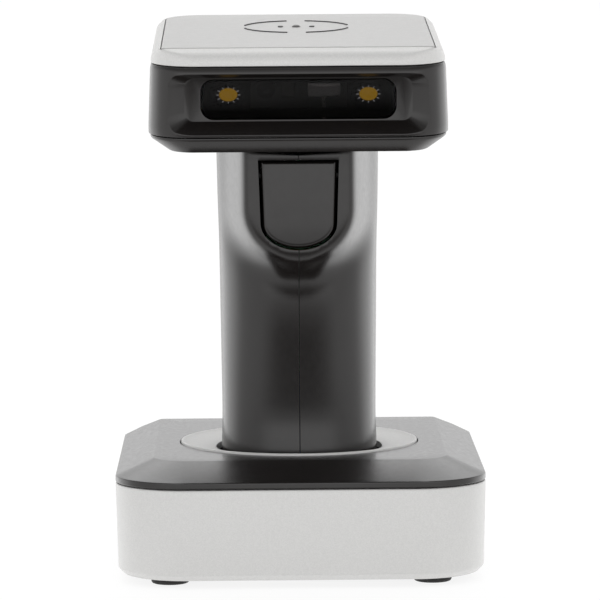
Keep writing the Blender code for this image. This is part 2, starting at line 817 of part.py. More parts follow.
# ---------------------------------------------------------------- trigger
def make_trigger():
    paddle = slab(
        "trigger", [trigger_outline()], TRIGGER_FRONT, TRIGGER_BACK, BLACK, SCANNER, "Y"
    )
    for side in (-1, 1):
        xs = sorted((side * 4.6, side * 7.2))
        ear = box(
            f"trigger_ear_{side}", (xs[0], TRIGGER_BACK - 1, 101.5), (xs[1], -28.9, 107.4)
        )
        fuse(paddle, ear)
    rib = box(
        "trigger_rib", (-1.2, TRIGGER_BACK - 1, SWITCH_Z - 1.6), (1.2, -27.6, SWITCH_Z + 1.6)
    )
    bore = cylinder(
        "trigger_bore", PIVOT_RADIUS + 0.2, (-20, PIVOT_Y, PIVOT_Z), (20, PIVOT_Y, PIVOT_Z),
        steps=16,
    )
    fuse(paddle, rib)
    carve(paddle, bore)
    cylinder(
        "trigger_pin", PIVOT_RADIUS, (-13.6, PIVOT_Y, PIVOT_Z), (13.6, PIVOT_Y, PIVOT_Z),
        STEEL, SCANNER, steps=16,
    )


def make_trigger_spring():
    """Compression spring between the trigger and the grip's board."""
    start, end = TRIGGER_BACK + 0.55, -22.6
    turns, per_turn, coil_radius, wire = 5, 10, 1.9, 0.24
    curve = bpy.data.curves.new("trigger_spring", "CURVE")
    curve.dimensions = "3D"
    curve.bevel_depth = wire * MM
    curve.bevel_resolution = 1
    curve.use_fill_caps = True
    spline = curve.splines.new("POLY")
    count = turns * per_turn + 1
    spline.points.add(count - 1)
    for i, point in enumerate(spline.points):
        angle = 2 * math.pi * i / per_turn
        y = start + (end - start) * i / (count - 1)
        x, z = coil_radius * math.cos(angle), coil_radius * math.sin(angle)
        point.co = (x * MM, y * MM, (SPRING_Z + z) * MM, 1)
    drawn = bpy.data.objects.new("trigger_spring_curve", curve)
    PARTS.objects.link(drawn)
    mesh = evaluated_mesh(drawn)
    bpy.data.objects.remove(drawn)
    place("trigger_spring", mesh, STEEL, SCANNER)


# ---------------------------------------------------------------- head
def lower_ring(height, side, front):
    return head_ring(height, HEAD_HALF_LOW - side, front, HEAD_LENGTH - side)


def make_head_lower_shell():
    rings = [
        lower_ring(HEAD_FLOOR, OVERHANG + UNDERCUT_SIDE, OVERHANG + UNDERCUT_FRONT),
        lower_ring(-0.9, OVERHANG, OVERHANG),
        lower_ring(-GAP, OVERHANG, OVERHANG),
    ]
    inner = [
        lower_ring(HEAD_FLOOR + 2, 7.4, 4.9),
        lower_ring(-0.9, 2.5, 2.5),
        lower_ring(1.0, 2.5, 2.5),
    ]
    shell = loft("head_lower_shell", rings, BLACK, HEAD)
    neck = slab(
        "neck_hole", [rounded_box(12, 32, 66, 5, 5)], -10, 5, None, HEAD
    )
    carve(shell, loft("lower_hollow", inner, None, HEAD), neck)
    for i, (x, y) in enumerate(HEAD_SCREWS):
        sink = cylinder(
            f"head_sink_{i}", 3.0, (x, y, -9), (x, y, HEAD_FLOOR + 1.1), None, HEAD, 16
        )
        hole = cylinder(f"head_hole_{i}", 1.65, (x, y, -9), (x, y, 5), None, HEAD, 16)
        carve(shell, sink, hole)


def nose_opening():
    """The funnel in front of the window, widening towards the front face."""
    back, front, past = FUNNEL_DEPTH, 0.0, -2.0

    def ring(y):
        share = (back - y) / (back - front)
        half = 29.4 + 7.3 * share
        low, high = 3.6 - 2.9 * share, 14.8 + 1.6 * share
        radius = 2.6 + 1.6 * share
        return [(x, y, z) for x, z in rounded_box(half, low, high, radius, radius)]

    return loft("nose_funnel", [ring(past), ring(back)], None, HEAD)


def window_outline(grow=0.0):
    radius = WINDOW_CORNER + grow
    return rounded_box(
        WINDOW_HALF_WIDTH + grow, WINDOW_LOW - grow, WINDOW_HIGH + grow, radius, radius
    )


def make_head_body():
    rings = [
        head_ring(0, HEAD_HALF_LOW, 0, HEAD_LENGTH),
        head_ring(2.4, HEAD_HALF_LOW, 0, HEAD_LENGTH),
        head_ring(BODY_HIGH - 2.0, HEAD_HALF_HIGH, 0.35, HEAD_LENGTH - 0.35),
        head_ring(BODY_HIGH - 0.9, HEAD_HALF_HIGH - 0.1, 0.6, HEAD_LENGTH - 0.5),
        head_ring(BODY_HIGH - 0.3, HEAD_HALF_HIGH - 0.35, 1.1, HEAD_LENGTH - 0.8),
        head_ring(BODY_HIGH, HEAD_HALF_HIGH - 0.7, 1.7, HEAD_LENGTH - 1.2),
    ]
    body = loft("head_body", rings, BLACK, HEAD)
    cavity = slab(
        "body_cavity",
        [rounded_box(HEAD_HALF_HIGH - 2.2, NOSE_DEPTH, HEAD_LENGTH - 2.6, 3.0, 9.6)],
        -5, 25, None, HEAD,
    )
    window_hole = slab(
        "window_hole", [window_outline()], FUNNEL_DEPTH - 1, NOSE_DEPTH + 2, None, HEAD, "Y"
    )
    carve(body, cavity, nose_opening(), window_hole)


def make_top_cover():
    # height, inset of the sides and the back, inset of the front, front corner radius
    levels = (
        (COVER_LOW, 0.15, 0.7, 11.9),
        (19.6, 0.3, 0.9, 11.6),
        (20.8, 0.8, 1.5, 10.0),
        (21.6, 1.6, 2.6, 7.0),
        (22.1, 2.1, 4.3, 3.6),
        (TOP_HEIGHT, 2.6, 5.3, 1.8),
    )
    rings = [
        head_ring(
            z, HEAD_HALF_HIGH - side, 0.4 + front, HEAD_LENGTH - 0.4 - side, corner
        )
        for z, side, front, corner in levels
    ]
    cover = loft("head_top_cover", rings, SILVER, HEAD)
    hollow = slab(
        "cover_inside",
        [rounded_box(HEAD_HALF_HIGH - 2.4, 3.4, HEAD_LENGTH - 3.4, 9.2, 9.2)],
        15, 19.2, None, HEAD,
    )
    seat = slab("panel_seat", [panel_outline(GAP)], 21.05, 30, None, HEAD)
    carve(cover, hollow, seat)
    for i, (x, y) in enumerate(HEAD_SCREWS):
        post = cylinder(
            f"head_post_{i}", 3.0, (x, y, HEAD_FLOOR + 2 + GAP), (x, y, 20), None, HEAD, 16
        )
        hole = cylinder(f"head_post_hole_{i}", 1.6, (x, y, -9), (x, y, 9), None, HEAD, 16)
        fuse(cover, post)
        carve(cover, hole)
    light_hole = cylinder(
        "cover_light_hole", 1.4, (0, EMBLEM_Y, 15), (0, EMBLEM_Y, 25), None, HEAD, 16
    )
    carve(cover, light_hole)


def panel_outline(grow=0.0):
    return rounded_box(
        PANEL_HALF_WIDTH + grow - 0.3, PANEL_FRONT - grow, PANEL_BACK + grow, 0.8, 9.5
    )


def arc_outline(radius, width, first, last, steps=8):
    """Part of a circle about the middle of the emblem, between two angles in degrees."""
    outline = []
    for edge, order in ((0.5, range(steps + 1)), (-0.5, range(steps, -1, -1))):
        for i in order:
            angle = math.radians(first + (last - first) * i / steps)
            reach = radius + edge * width
            outline.append((reach * math.cos(angle), EMBLEM_Y + reach * math.sin(angle)))
    return outline


def make_top_panel():
    panel = slab("top_panel", [panel_outline()], 21.35, 22.6, SILVER, HEAD)
    centre = cylinder(
        "panel_light_hole", 1.3, (0, EMBLEM_Y, 20), (0, EMBLEM_Y, 24), None, HEAD, 16
    )
    carve(panel, centre)
    for quarter in range(4):
        start = 90 * quarter
        low, high = (14, 80) if quarter % 2 == 0 else (10, 76)
        outline = arc_outline(EMBLEM_RADIUS, EMBLEM_LINE, start + low, start + high)
        fuse(panel, slab(f"panel_arc_{quarter}", [outline], 22.3, EMBLEM_HIGH, None, HEAD))
    for side in (-1, 1):
        mark = ellipse(side * 4.2, EMBLEM_Y, 0.7, 0.9, 12)
        fuse(panel, slab(f"panel_mark_{side}", [mark], 22.3, EMBLEM_HIGH, None, HEAD))


def make_window():
    slab("window_glass", [window_outline(-GAP)], 5.6, 6.8, GLASS, HEAD, "Y")
    clear = [
        (CLEAR_LEFT, CLEAR_LOW),
        (CLEAR_RIGHT, CLEAR_LOW),
        (CLEAR_RIGHT, CLEAR_HIGH),
        (CLEAR_LEFT, CLEAR_HIGH),
    ]
    lamps = [ellipse(side * LED_X, LED_Z, 2.4, 1.75) for side in (-1, 1)]
    outlines = [window_outline(-GAP), clear, *lamps]
    slab("window_mask", outlines, 7.1, 8.3, BLACK, HEAD, "Y")


def make_lamps():
    for side, word in ((-1, "left"), (1, "right")):
        x = side * LED_X
        slab(
            f"lamp_lens_{word}", [ellipse(x, LED_Z, 2.05, 1.4)], 7.3, 10.2, AMBER, HEAD, "Y"
        )
        xs = sorted((side * 15.6, side * 23.0))
        box(f"lamp_board_{word}", (xs[0], 10.5, 4.5), (xs[1], 11.7, 14.5), BOARD, HEAD)


def make_scan_engine():
    chassis = box("engine_chassis", (-14.2, 10.2, 2.4), (14.4, 30.0, 15.2), GREY, HEAD)
    inside = box("engine_inside", (-13.0, 5, 3.6), (13.2, 28.6, 14.0), None, HEAD)
    carve(chassis, inside)
    cylinder(
        "mirror_post", 0.55, (MIRROR_X, MIRROR_Y, 3.9), (MIRROR_X, MIRROR_Y, 13.7), STEEL,
        HEAD, 12,
    )
    mirror = box(
        "scan_mirror",
        (MIRROR_X - 4.2, MIRROR_Y - 2.6, MIRROR_Z - 1.8),
        (MIRROR_X + 4.2, MIRROR_Y - 1.4, MIRROR_Z + 1.8),
        MIRROR,
        HEAD,
    )
    hub = cylinder(
        "mirror_hub", 1.7, (MIRROR_X, MIRROR_Y, MIRROR_Z - 1.8),
        (MIRROR_X, MIRROR_Y, MIRROR_Z + 1.8), None, HEAD, 16,
    )
    bore = cylinder(
        "mirror_bore", 0.8, (MIRROR_X, MIRROR_Y, 0), (MIRROR_X, MIRROR_Y, 20), None, HEAD, 16
    )
    fuse(mirror, hub)
    carve(mirror, bore)
    cylinder(
        "mirror_drive_coil", 2.3, (MIRROR_X, 18.6, MIRROR_Z), (MIRROR_X, 22.4, MIRROR_Z),
        GOLD, HEAD, 20,
    )
    laser = cylinder(
        "laser_module", 2.4, (-8.2, 14.0, MIRROR_Z), (-8.2, 24.0, MIRROR_Z), GOLD, HEAD, 20
    )
    aperture = cylinder(
        "laser_aperture", 0.9, (-8.2, 10, MIRROR_Z), (-8.2, 15.2, MIRROR_Z), None, HEAD, 12
    )
    carve(laser, aperture)
    detector = box(
        "light_detector", (-4.4, 15.0, 8.4), (-0.6, 17.0, 12.8), GREY, HEAD
    )
    bevel(detector, 0.3)


def make_main_board():
    board = box("main_board", (-20.5, 38, 8.0), (20.5, 82, 9.6), BOARD, HEAD)
    chips = (
        ((-18, 58, 9.4), (-4, 72, 11.2)),
        ((8, 60, 9.4), (18, 70, 10.8)),
        ((-17, 44, 9.4), (-9, 50, 10.6)),
        ((9, 44, 9.4), (15, 50, 11.6)),
        ((-4, 76, 9.4), (4, 81, 10.4)),
    )
    for i, (low, high) in enumerate(chips):
        fuse(board, box(f"main_chip_{i}", low, high, None, HEAD))
    cylinder("beeper", 2.9, (3.0, 65.0, 9.9), (3.0, 65.0, 14.0), GREY, HEAD, 24)
    profile = ((0, 23.2), (0.55, 23.1), (0.95, 22.8), (1.08, 22.2), (1.08, 9.9), (0, 9.9))
    light = turned("status_light", profile, PALE, HEAD, steps=16)
    light.location = Vector((0, EMBLEM_Y, 0)) * MM


def make_head_screws():
    mesh = screw_mesh("head_screw", 2.6, 0.8, 1.25, 9.5)
    for i, (x, y) in enumerate(HEAD_SCREWS):
        place(
            f"head_screw_{i + 1}", mesh, STEEL, HEAD, (x, y, HEAD_FLOOR + 1.1 - GAP),
            (math.pi, 0, 0),
        )


def main():
    make_base_shell()
    make_bottom_plate()
    make_feet()
    make_base_screws()
    make_base_cover()
    make_docking_ring()
    make_socket_well()
    make_contacts()
    make_base_board()
    make_cable_socket()
    make_ballast()
    make_handle_shells()
    make_handle_screws()
    make_end_cap()
    make_neck_gasket()
    make_battery()
    make_handle_board()
    make_ribbon()
    make_trigger()
    make_trigger_spring()
    make_head_lower_shell()
    make_head_body()
    make_top_cover()
    make_top_panel()
    make_window()
    make_lamps()
    make_scan_engine()
    make_main_board()
    make_head_screws()


main()
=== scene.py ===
import json
import math

import bmesh
import bpy
from mathutils import Matrix, Vector


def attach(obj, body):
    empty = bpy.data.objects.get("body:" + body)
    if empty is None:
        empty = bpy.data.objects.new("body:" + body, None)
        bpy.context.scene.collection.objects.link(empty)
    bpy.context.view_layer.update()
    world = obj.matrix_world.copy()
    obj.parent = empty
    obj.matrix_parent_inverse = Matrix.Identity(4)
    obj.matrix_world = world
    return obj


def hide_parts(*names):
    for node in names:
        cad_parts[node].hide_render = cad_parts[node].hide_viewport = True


# Looks of a cordless barcode scanner in its charging cradle, built round the packed
# solids. Shapes are given in millimetres, with heights counted from a level LIFT above
# the table. Head pieces are given in the head's own pitched frame.

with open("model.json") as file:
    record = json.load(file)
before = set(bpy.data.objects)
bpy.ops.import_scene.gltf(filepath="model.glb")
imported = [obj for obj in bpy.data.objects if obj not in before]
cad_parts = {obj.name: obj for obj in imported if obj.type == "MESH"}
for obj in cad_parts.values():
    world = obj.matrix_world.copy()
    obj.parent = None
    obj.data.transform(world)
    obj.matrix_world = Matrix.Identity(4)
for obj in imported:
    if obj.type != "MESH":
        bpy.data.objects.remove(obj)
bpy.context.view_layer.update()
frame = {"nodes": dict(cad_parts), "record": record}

MM = 0.001
MERGE = 0.000002  # metres: vertices this close are one after a cut
LIFT = 1.0
SIDES = ((-1, "left"), (1, "right"))
BODY_OF = {
    node: body
    for body, nodes in frame["record"]["behaviour"]["bodies"].items()
    for node in nodes
}

# Sizes in millimetres, most of them repeated from the solids
BASE_HALF_WIDTH, BASE_HALF_DEPTH = 48.5, 53.5
BASE_CORNER, BASE_BACK_CORNER = 19.0, 6.0
SHELL_LOW, SHELL_HIGH, SHELL_WALL = 1.2, 25.0, 3.0
RIM_LOW, RIM_HIGH, COVER_HIGH, COVER_WALL = 25.3, 26.9, 31.1, 2.2
HOLE_RADIUS, RING_RADIUS, DISH_RADIUS = 32.1, 31.8, 30.8
RING_LOW, DISH_LOW, RING_HIGH = 28.4, 30.1, 31.6
NOTCH_HALF, NOTCH_REACH = 10.2, 29.2
OPENING_GAP = 1.4
SLOPE_SIDE, SLOPE_FRONT, SLOPE_BACK = 10.0, 13.0, 3.5
FOOT_X, FOOT_Y = 34.3, 39.5
BASE_SCREW_X, BASE_SCREW_Y = 38.0, 30.0
CONTACT_X, CONTACT_Y = 5.0, -4.0
CAP_HIGH = 13.7
HANDLE_LOW = 11.3
HANDLE_CENTRE = -4.0
# height, half width, front y, back y
HANDLE_STATIONS = (
    (11.3, 20.0, -24.6, 16.4),
    (30.0, 20.8, -25.4, 17.2),
    (38.0, 20.6, -24.6, 16.8),
    (52.0, 20.7, -26.2, 16.6),
    (70.0, 20.9, -28.8, 17.6),
    (80.0, 21.0, -28.6, 18.8),
    (90.0, 21.15, -24.6, 20.6),
    (100.0, 21.4, -22.4, 23.2),
    (112.0, 21.6, -22.0, 28.4),
    (124.0, 21.7, -22.0, 32.0),
)
FRONT_POWER, BACK_POWER = 2.2, 2.6
BOSS_FRONT = -36.4
BOSS_HALF_WIDTH = 14.4
BOSS_ARC_HEIGHT = 96.0
BOSS_ARC_DROP = 12.8
BOSS_SIDE_SLOPE, BOSS_UNDER_SLOPE = 4.2, 1.1
BOSS_ROUNDING = 0.9
BOSS_BLEND = 6.0
BOSS_ROOF = 109.3
# x, z of the top of the trigger's surround, from its middle outwards
BOSS_TOP = (
    (0.0, 110.3), (10.5, 111.0), (12.5, 111.5), (14.0, 112.4), (15.2, 113.9), (15.8, 116.0),
)
NECK_FRONT = -21.5
HANDLE_TOP = -5.05
HANDLE_SCREWS = ((9.0, 32.0), (9.0, 68.0), (12.0, 102.0))  # y, z
SEAM_GAP, SEAM_ROUND = 0.06, 0.12
SEAM_STEPS = (0.0, 0.01, 0.04, 0.08, 0.12, 0.5, 1.1)
SLOPE_START, NECK_REFERENCE = 84.0, 112.0
POST_RADIUS, SCREW_HOLE, SCREW_HOLE_WIDE, SINK_RADIUS = 3.4, 1.6, 1.65, 3.0
HANDLE_WALL, GAP = 2.0, 0.3
TRIGGER_HIGH, TRIGGER_TOP_GAP, TRIGGER_CLEARANCE = 108.9, 0.2, 0.65
PIVOT_Y, PIVOT_Z = -31.2, 105.0
TRIGGER_ARC_HEIGHT = 92.6
TRIGGER_ARC_DROP = 6.4
TRIGGER_HALF_TOP, TRIGGER_HALF_LOW = 9.9, 9.35
HEAD_PITCH = math.radians(4.5)
HEAD_ORIGIN = Vector((0.0, -52.4, 115.9))
HEAD_LENGTH = 88.0
HEAD_HALF_LOW, HEAD_HALF_HIGH = 38.75, 38.2
HEAD_CORNER = 12.0
HEAD_FLOOR = -4.15
OVERHANG = 0.5
UNDERCUT_SIDE, UNDERCUT_FRONT = 4.9, 2.3
BODY_HIGH, COVER_LOW, TOP_HEIGHT = 18.1, 18.25, 22.4
PANEL_HALF, PANEL_FRONT, PANEL_BACK = 35.1, 6.0, 84.8
EMBLEM_Y, EMBLEM_RADIUS, EMBLEM_LINE = 53.0, 14.1, 0.4
NOSE_DEPTH = 9.6
WINDOW_HALF, WINDOW_LOW, WINDOW_HIGH, WINDOW_CORNER = 25.2, 4.0, 14.5, 3.4
CLEAR_LEFT, CLEAR_RIGHT, CLEAR_LOW, CLEAR_HIGH = -12.3, 12.5, 6.7, 13.4
LED_X, LED_Z, LED_HALF_X, LED_HALF_Z = 18.0, 10.2, 2.33, 1.66
MIRROR_X, MIRROR_Y, MIRROR_Z = 6.7, 15.0, 10.6
HEAD_SCREWS = ((-25.0, 15.5), (25.0, 15.5), (-25.0, 74.0), (25.0, 74.0))


def placed(name, data):
    obj = bpy.data.objects.new(name, data)
    bpy.context.scene.collection.objects.link(obj)
    return obj


# ---- camera
def make_camera():
    data = bpy.data.cameras.new("camera")
    data.lens = 255.0
    data.sensor_width = 36.0
    data.clip_end = 100.0
    camera = placed("camera", data)
    pitch, roll, turn = math.radians(5.45), math.radians(-0.41), math.radians(-0.60)
    facing = (
        Matrix.Rotation(turn, 4, "Z")
        @ Matrix.Rotation(math.pi / 2 - pitch, 4, "X")
        @ Matrix.Rotation(roll, 4, "Z")
    )
    place = (-0.0114, -1.139, 0.1788)
    camera.matrix_world = Matrix.Translation(place) @ facing
    bpy.context.scene.camera = camera


make_camera()


# ---- materials
def mapped(tree, source, before, after):
    """A node that turns one range of values into another and holds it at its ends."""
    node = tree.nodes.new("ShaderNodeMapRange")
    tree.links.new(source, node.inputs["Value"])
    names = ("From Min", "From Max", "To Min", "To Max")
    for name, value in zip(names, (*before, *after)):
        node.inputs[name].default_value = value
    return node


class Nodes:
    """A Principled material under construction, patterned in the piece's own space."""

    def __init__(self, name, colour, roughness, metallic=0.0):
        self.material = bpy.data.materials.new(name)
        self.material.use_nodes = True
        self.tree = self.material.node_tree
        self.shader = self.tree.nodes["Principled BSDF"]
        self.colour, self.roughness = colour, roughness
        self.give("Base Color", (*colour, 1.0))
        self.give("Roughness", roughness)
        self.give("Metallic", metallic)
        self.coordinates = self.tree.nodes.new("ShaderNodeTexCoord").outputs["Object"]
        self.normal = None

    def give(self, name, value):
        self.shader.inputs[name].default_value = value

    def glow(self, colour, strength):
        self.give("Emission Color", (*colour, 1.0))
        self.give("Emission Strength", strength)

    def link(self, source, target):
        self.tree.links.new(source, target)

    def texture(self, kind, size_mm, source):
        """A texture whose features are about that many millimetres across."""
        node = self.tree.nodes.new(kind)
        node.inputs["Scale"].default_value = 1.0 / (size_mm * MM)
        self.link(source, node.inputs["Vector"])
        return node

    def noise(self, size_mm, detail, stretch=None):
        source = self.coordinates
        if stretch:
            mapping = self.tree.nodes.new("ShaderNodeMapping")
            mapping.inputs["Scale"].default_value = stretch
            self.link(source, mapping.inputs["Vector"])
            source = mapping.outputs["Vector"]
        node = self.texture("ShaderNodeTexNoise", size_mm, source)
        node.inputs["Detail"].default_value = detail
        return node.outputs["Fac"]

    def cells(self, size_mm, output="Color"):
        node = self.texture("ShaderNodeTexVoronoi", size_mm, self.coordinates)
        if output == "Distance":
            return node.outputs["Distance"]
        grey = self.tree.nodes.new("ShaderNodeSeparateColor")
        self.link(node.outputs["Color"], grey.inputs["Color"])
        return grey.outputs["Red"]

    def mix(self, source, at_low, at_high, above):
        """Runs the base colour to another where the source is high. Returns its low end."""
        node = self.tree.nodes.new("ShaderNodeMix")
        node.data_type = "RGBA"
        share = mapped(self.tree, source, (at_low, at_high), (0.0, 1.0))
        self.link(share.outputs["Result"], node.inputs["Factor"])
        node.inputs["B"].default_value = (*above, 1.0)
        self.link(node.outputs["Result"], self.shader.inputs["Base Color"])
        return node.inputs["A"]

    def shade(self, source, dark, light, at_low=0.25, at_high=0.75):
        """Colour runs between two multiples of the base colour."""
        above = [min(c * light, 1.0) for c in self.colour]
        below = self.mix(source, at_low, at_high, above)
        below.default_value = (*[c * dark for c in self.colour], 1.0)

    def tint(self, source, colour, at_low, at_high):
        """Lays another colour over the base colour where the source is high."""
        shaded = self.shader.inputs["Base Color"].links[0].from_socket
        self.link(shaded, self.mix(source, at_low, at_high, colour))

    def gloss(self, source, spread):
        ends = (self.roughness - spread, self.roughness + spread)
        node = mapped(self.tree, source, (0.25, 0.75), ends)
        self.link(node.outputs["Result"], self.shader.inputs["Roughness"])

    def bump(self, source, depth_mm):
        node = self.tree.nodes.new("ShaderNodeBump")
        node.inputs["Strength"].default_value = 1.0
        node.inputs["Distance"].default_value = depth_mm * MM
        self.link(source, node.inputs["Height"])
        if self.normal:
            self.link(self.normal, node.inputs["Normal"])
        self.normal = node.outputs["Normal"]
        self.link(self.normal, self.shader.inputs["Normal"])


def textured(name, colour, roughness, metallic, tone, gloss, relief):
    """A material with noise in its colour, its gloss and its relief.

    Each row holds the size and detail of its noise, any stretch, and then its amounts."""
    made = Nodes(name, colour, roughness, metallic)
    made.shade(made.noise(*tone[:2]), *tone[2:])
    made.gloss(made.noise(*gloss[:-1]), gloss[-1])
    made.bump(made.noise(*relief[:-1]), relief[-1])
    return made


def moulded(name, colour, roughness, grain_mm=0.28, grain_depth=0.006, spread=0.05):
    """Moulded plastic with a fine spark-eroded grain and a faint mottle."""
    mottle, relief = (6.0, 4.0, 0.86, 1.14), (grain_mm, 2.0, grain_depth)
    return textured(name, colour, roughness, 0.0, mottle, (1.4, 5.0, spread), relief)


FINE = (0.1, 0.002)  # size and depth in mm of the grain of prints and small pieces


def make_materials():
    made = {
        "black_plastic": moulded(
            "satin_black_plastic", (0.0082, 0.0068, 0.0064), 0.24, spread=0.03
        ),
        "silver_paint": Nodes("silver_metallic_paint", (0.60, 0.597, 0.588), 0.46, 0.12),
        "silver_film": Nodes("silver_panel_film", (0.462, 0.458, 0.452), 0.46, 0.12),
        "grey_plastic": moulded("grey_moulded_plastic", (0.11, 0.108, 0.105), 0.5),
        "rubber": textured(
            "foot_rubber", (0.016, 0.0155, 0.015), 0.82, 0.0,
            (0.8, 6.0, 0.7, 1.5), (0.5, 3.0, 0.08), (0.35, 5.0, 0.02),
        ),
        # painted highlight: the pale neck gasket gives the bright slivers in the gap under the
        # head, which stand for a highlight on the top edge of the grip
        "pale_seal": textured(
            "pale_silicone_and_painted_highlight", (0.66, 0.65, 0.62), 0.42, 0.0,
            (3.0, 3.0, 0.92, 1.05), (0.9, 3.0, 0.06), (0.3, 2.0, 0.004),
        ),
        "window_glass": textured(
            "tinted_window", (0.17, 0.16, 0.155), 0.03, 0.0,
            (9.0, 3.0, 0.97, 1.03), (5.0, 5.0, 0.015), (8.0, 1.0, 0.0015),
        ),
        # painted light: the amber lens material glows so the unlit aiming lamps show through the
        # tinted window
        "amber_lens": Nodes("amber_lens", (0.20, 0.112, 0.0035), 0.30),
        "steel": textured(
            "bright_steel", (0.52, 0.52, 0.53), 0.30, 1.0, (2.0, 5.0, 0.82, 1.08),
            (0.25, 4.0, (1.0, 1.0, 0.15), 0.09), (0.12, 2.0, (1.0, 1.0, 0.1), 0.002),
        ),
        "gold_contact": textured(
            "gold_plating", (0.83, 0.60, 0.24), 0.24, 1.0,
            (1.2, 4.0, 0.85, 1.05), (0.3, 3.0, 0.07), (0.2, 2.0, 0.0015),
        ),
        "circuit_board": Nodes("solder_mask", (0.016, 0.105, 0.045), 0.36),
        "battery_wrap": textured(
            "battery_sleeve", (0.04, 0.13, 0.34), 0.34, 0.0,
            (7.0, 3.0, 0.85, 1.12), (1.5, 4.0, 0.07), (1.8, 3.0, (1.0, 1.0, 0.25), 0.03),
        ),
        "mirror": textured(
            "coated_mirror", (0.42, 0.43, 0.45), 0.05, 1.0,
            (1.5, 3.0, 0.95, 1.03), (0.7, 4.0, 0.02), (1.0, 1.0, 0.0006),
        ),
        "window_print": moulded("window_black_print", (0.0035, 0.0028, 0.0024), 0.55, *FINE),
        "smoked_light": moulded("smoked_light_pipe", (0.11, 0.108, 0.105), 0.35, *FINE),
        "blackened_steel": moulded("blackened_steel", (0.012, 0.012, 0.012), 0.45, *FINE),
        "ink": moulded("dark_ink", (0.02, 0.018, 0.017), 0.5, *FINE),
        # painted light: the pale printed ray marks glow
        "pale_ink_painted_glow": moulded("pale_ink_painted_glow", (0.20, 0.20, 0.205), 0.45, *FINE),
    }
    for paint in (made["silver_paint"], made["silver_film"]):
        paint.shade(paint.cells(0.22), 0.95, 1.04, 0.0, 1.0)
        paint.gloss(paint.noise(2.0, 4.0), 0.04)
        paint.bump(paint.cells(0.25), 0.0025)
        paint.bump(paint.noise(1.1, 2.0), 0.002)
        paint.give("Specular IOR Level", 0.3)

    amber = made["amber_lens"]
    amber.shade(amber.cells(0.24, "Distance"), 1.12, 0.85, 0.0, 0.8)
    amber.gloss(amber.noise(0.8, 3.0), 0.05)
    amber.bump(amber.cells(0.3, "Distance"), 0.02)

    board = made["circuit_board"]
    board.shade(board.noise(3.5, 4.0), 0.8, 1.2)
    board.tint(board.cells(2.3, "Distance"), (0.028, 0.19, 0.08), 0.42, 0.46)
    board.gloss(board.noise(1.0, 3.0), 0.06)
    board.bump(board.cells(2.3, "Distance"), 0.03)

    # painted light: the unlit amber lenses glow to show behind the tinted window
    amber.glow((1.0, 0.57, 0.016), 0.8)
    # painted light: the printed ray marks glow though they are no lamp
    made["pale_ink_painted_glow"].glow((0.95, 0.97, 1.0), 1.3)
    made["black_plastic"].give("IOR", 1.50)
    made["window_glass"].give("IOR", 1.16)
    made["window_glass"].give("Transmission Weight", 1.0)
    made["window_print"].give("Specular IOR Level", 0.05)
    made["pale_seal"].give("Subsurface Weight", 0.2)
    made["pale_seal"].give("Subsurface Scale", 0.002)
    return {slot: nodes.material for slot, nodes in made.items()}


MATERIAL = make_materials()


# ---- mesh helpers
def from_head(x, y, z):
    """A point given in the head's frame, in the model's frame."""
    c, s = math.cos(HEAD_PITCH), math.sin(HEAD_PITCH)
    return HEAD_ORIGIN + Vector((x, y * c - z * s, y * s + z * c))


def from_work(name, work, head=False):
    """An object from a bmesh in millimetres, in the model's frame in metres."""
    for vert in work.verts:
        point = from_head(*vert.co) if head else vert.co
        vert.co = (point + Vector((0, 0, LIFT))) * MM
    bmesh.ops.recalc_face_normals(work, faces=work.faces)
    mesh = bpy.data.meshes.new(name)
    work.to_mesh(mesh)
    work.free()
    return placed(name, mesh)


def add_skin(work, rings, closed=False):
    """A skin through rings of equal counts: closed joins the last ring to the first."""
    loops = [[work.verts.new(point) for point in ring] for ring in rings]
    pairs = list(zip(loops, loops[1:]))
    if closed:
        pairs.append((loops[-1], loops[0]))
    for lower, upper in pairs:
        for i in range(len(lower)):
            j = (i + 1) % len(lower)
            work.faces.new((lower[i], lower[j], upper[j], upper[i]))
    if not closed:
        work.faces.new(loops[0][::-1])
        work.faces.new(loops[-1])


def skin(name, rings, head=False, closed=False):
    work = bmesh.new()
    add_skin(work, rings, closed)
    return from_work(name, work, head)


def block(name, low, high, head=False):
    work = bmesh.new()
    bmesh.ops.create_cube(work, size=1.0)
    low, high = Vector(low), Vector(high)
    for vert in work.verts:
        vert.co = (low + high) / 2 + Vector(v * s for v, s in zip(vert.co, high - low))
    return from_work(name, work, head)


def prism(name, outline, low, high, facing="Z", head=False):
    """An outline given thickness along Z, or along Y with its second number as height."""
    laid = upright if facing == "Y" else level
    return skin(name, [laid(outline, place) for place in (low, high)], head)


def turned(name, profile, centre, axis="Z", steps=48, head=False):
    """A (radius, height) profile turned about an axis through centre."""
    work = bmesh.new()
    rings = []
    for radius, height in profile:
        ring = []
        for i in range(steps if radius > 0 else 1):
            a, b = polar(radius, 2 * math.pi * i / steps)
            spot = (a, b, height) if axis == "Z" else (height, a, b)
            ring.append(work.verts.new(Vector(centre) + Vector(spot)))
        rings.append(ring)
    for first, second in zip(rings, rings[1:]):
        for i in range(steps):
            j = (i + 1) % steps
            if len(first) == 1:
                work.faces.new((first[0], second[i], second[j]))
            elif len(second) == 1:
                work.faces.new((first[i], first[j], second[0]))
            else:
                work.faces.new((first[i], first[j], second[j], second[i]))
    return from_work(name, work, head)


def rod(name, radius, start, end, axis, centre, steps=32, head=False):
    """A round cutter or bar along an axis, between two places on it."""
    profile = ((0, start), (radius, start), (radius, end), (0, end))
    return turned(name, profile, centre, axis, steps, head)


def applied(obj):
    """Makes the object's modifiers part of its mesh."""
    graph = bpy.context.evaluated_depsgraph_get()
    graph.update()
    mesh = bpy.data.meshes.new_from_object(obj.evaluated_get(graph))
    old = obj.data
    obj.modifiers.clear()
    obj.data = mesh
    mesh.name = obj.name
    bpy.data.meshes.remove(old)
    return obj


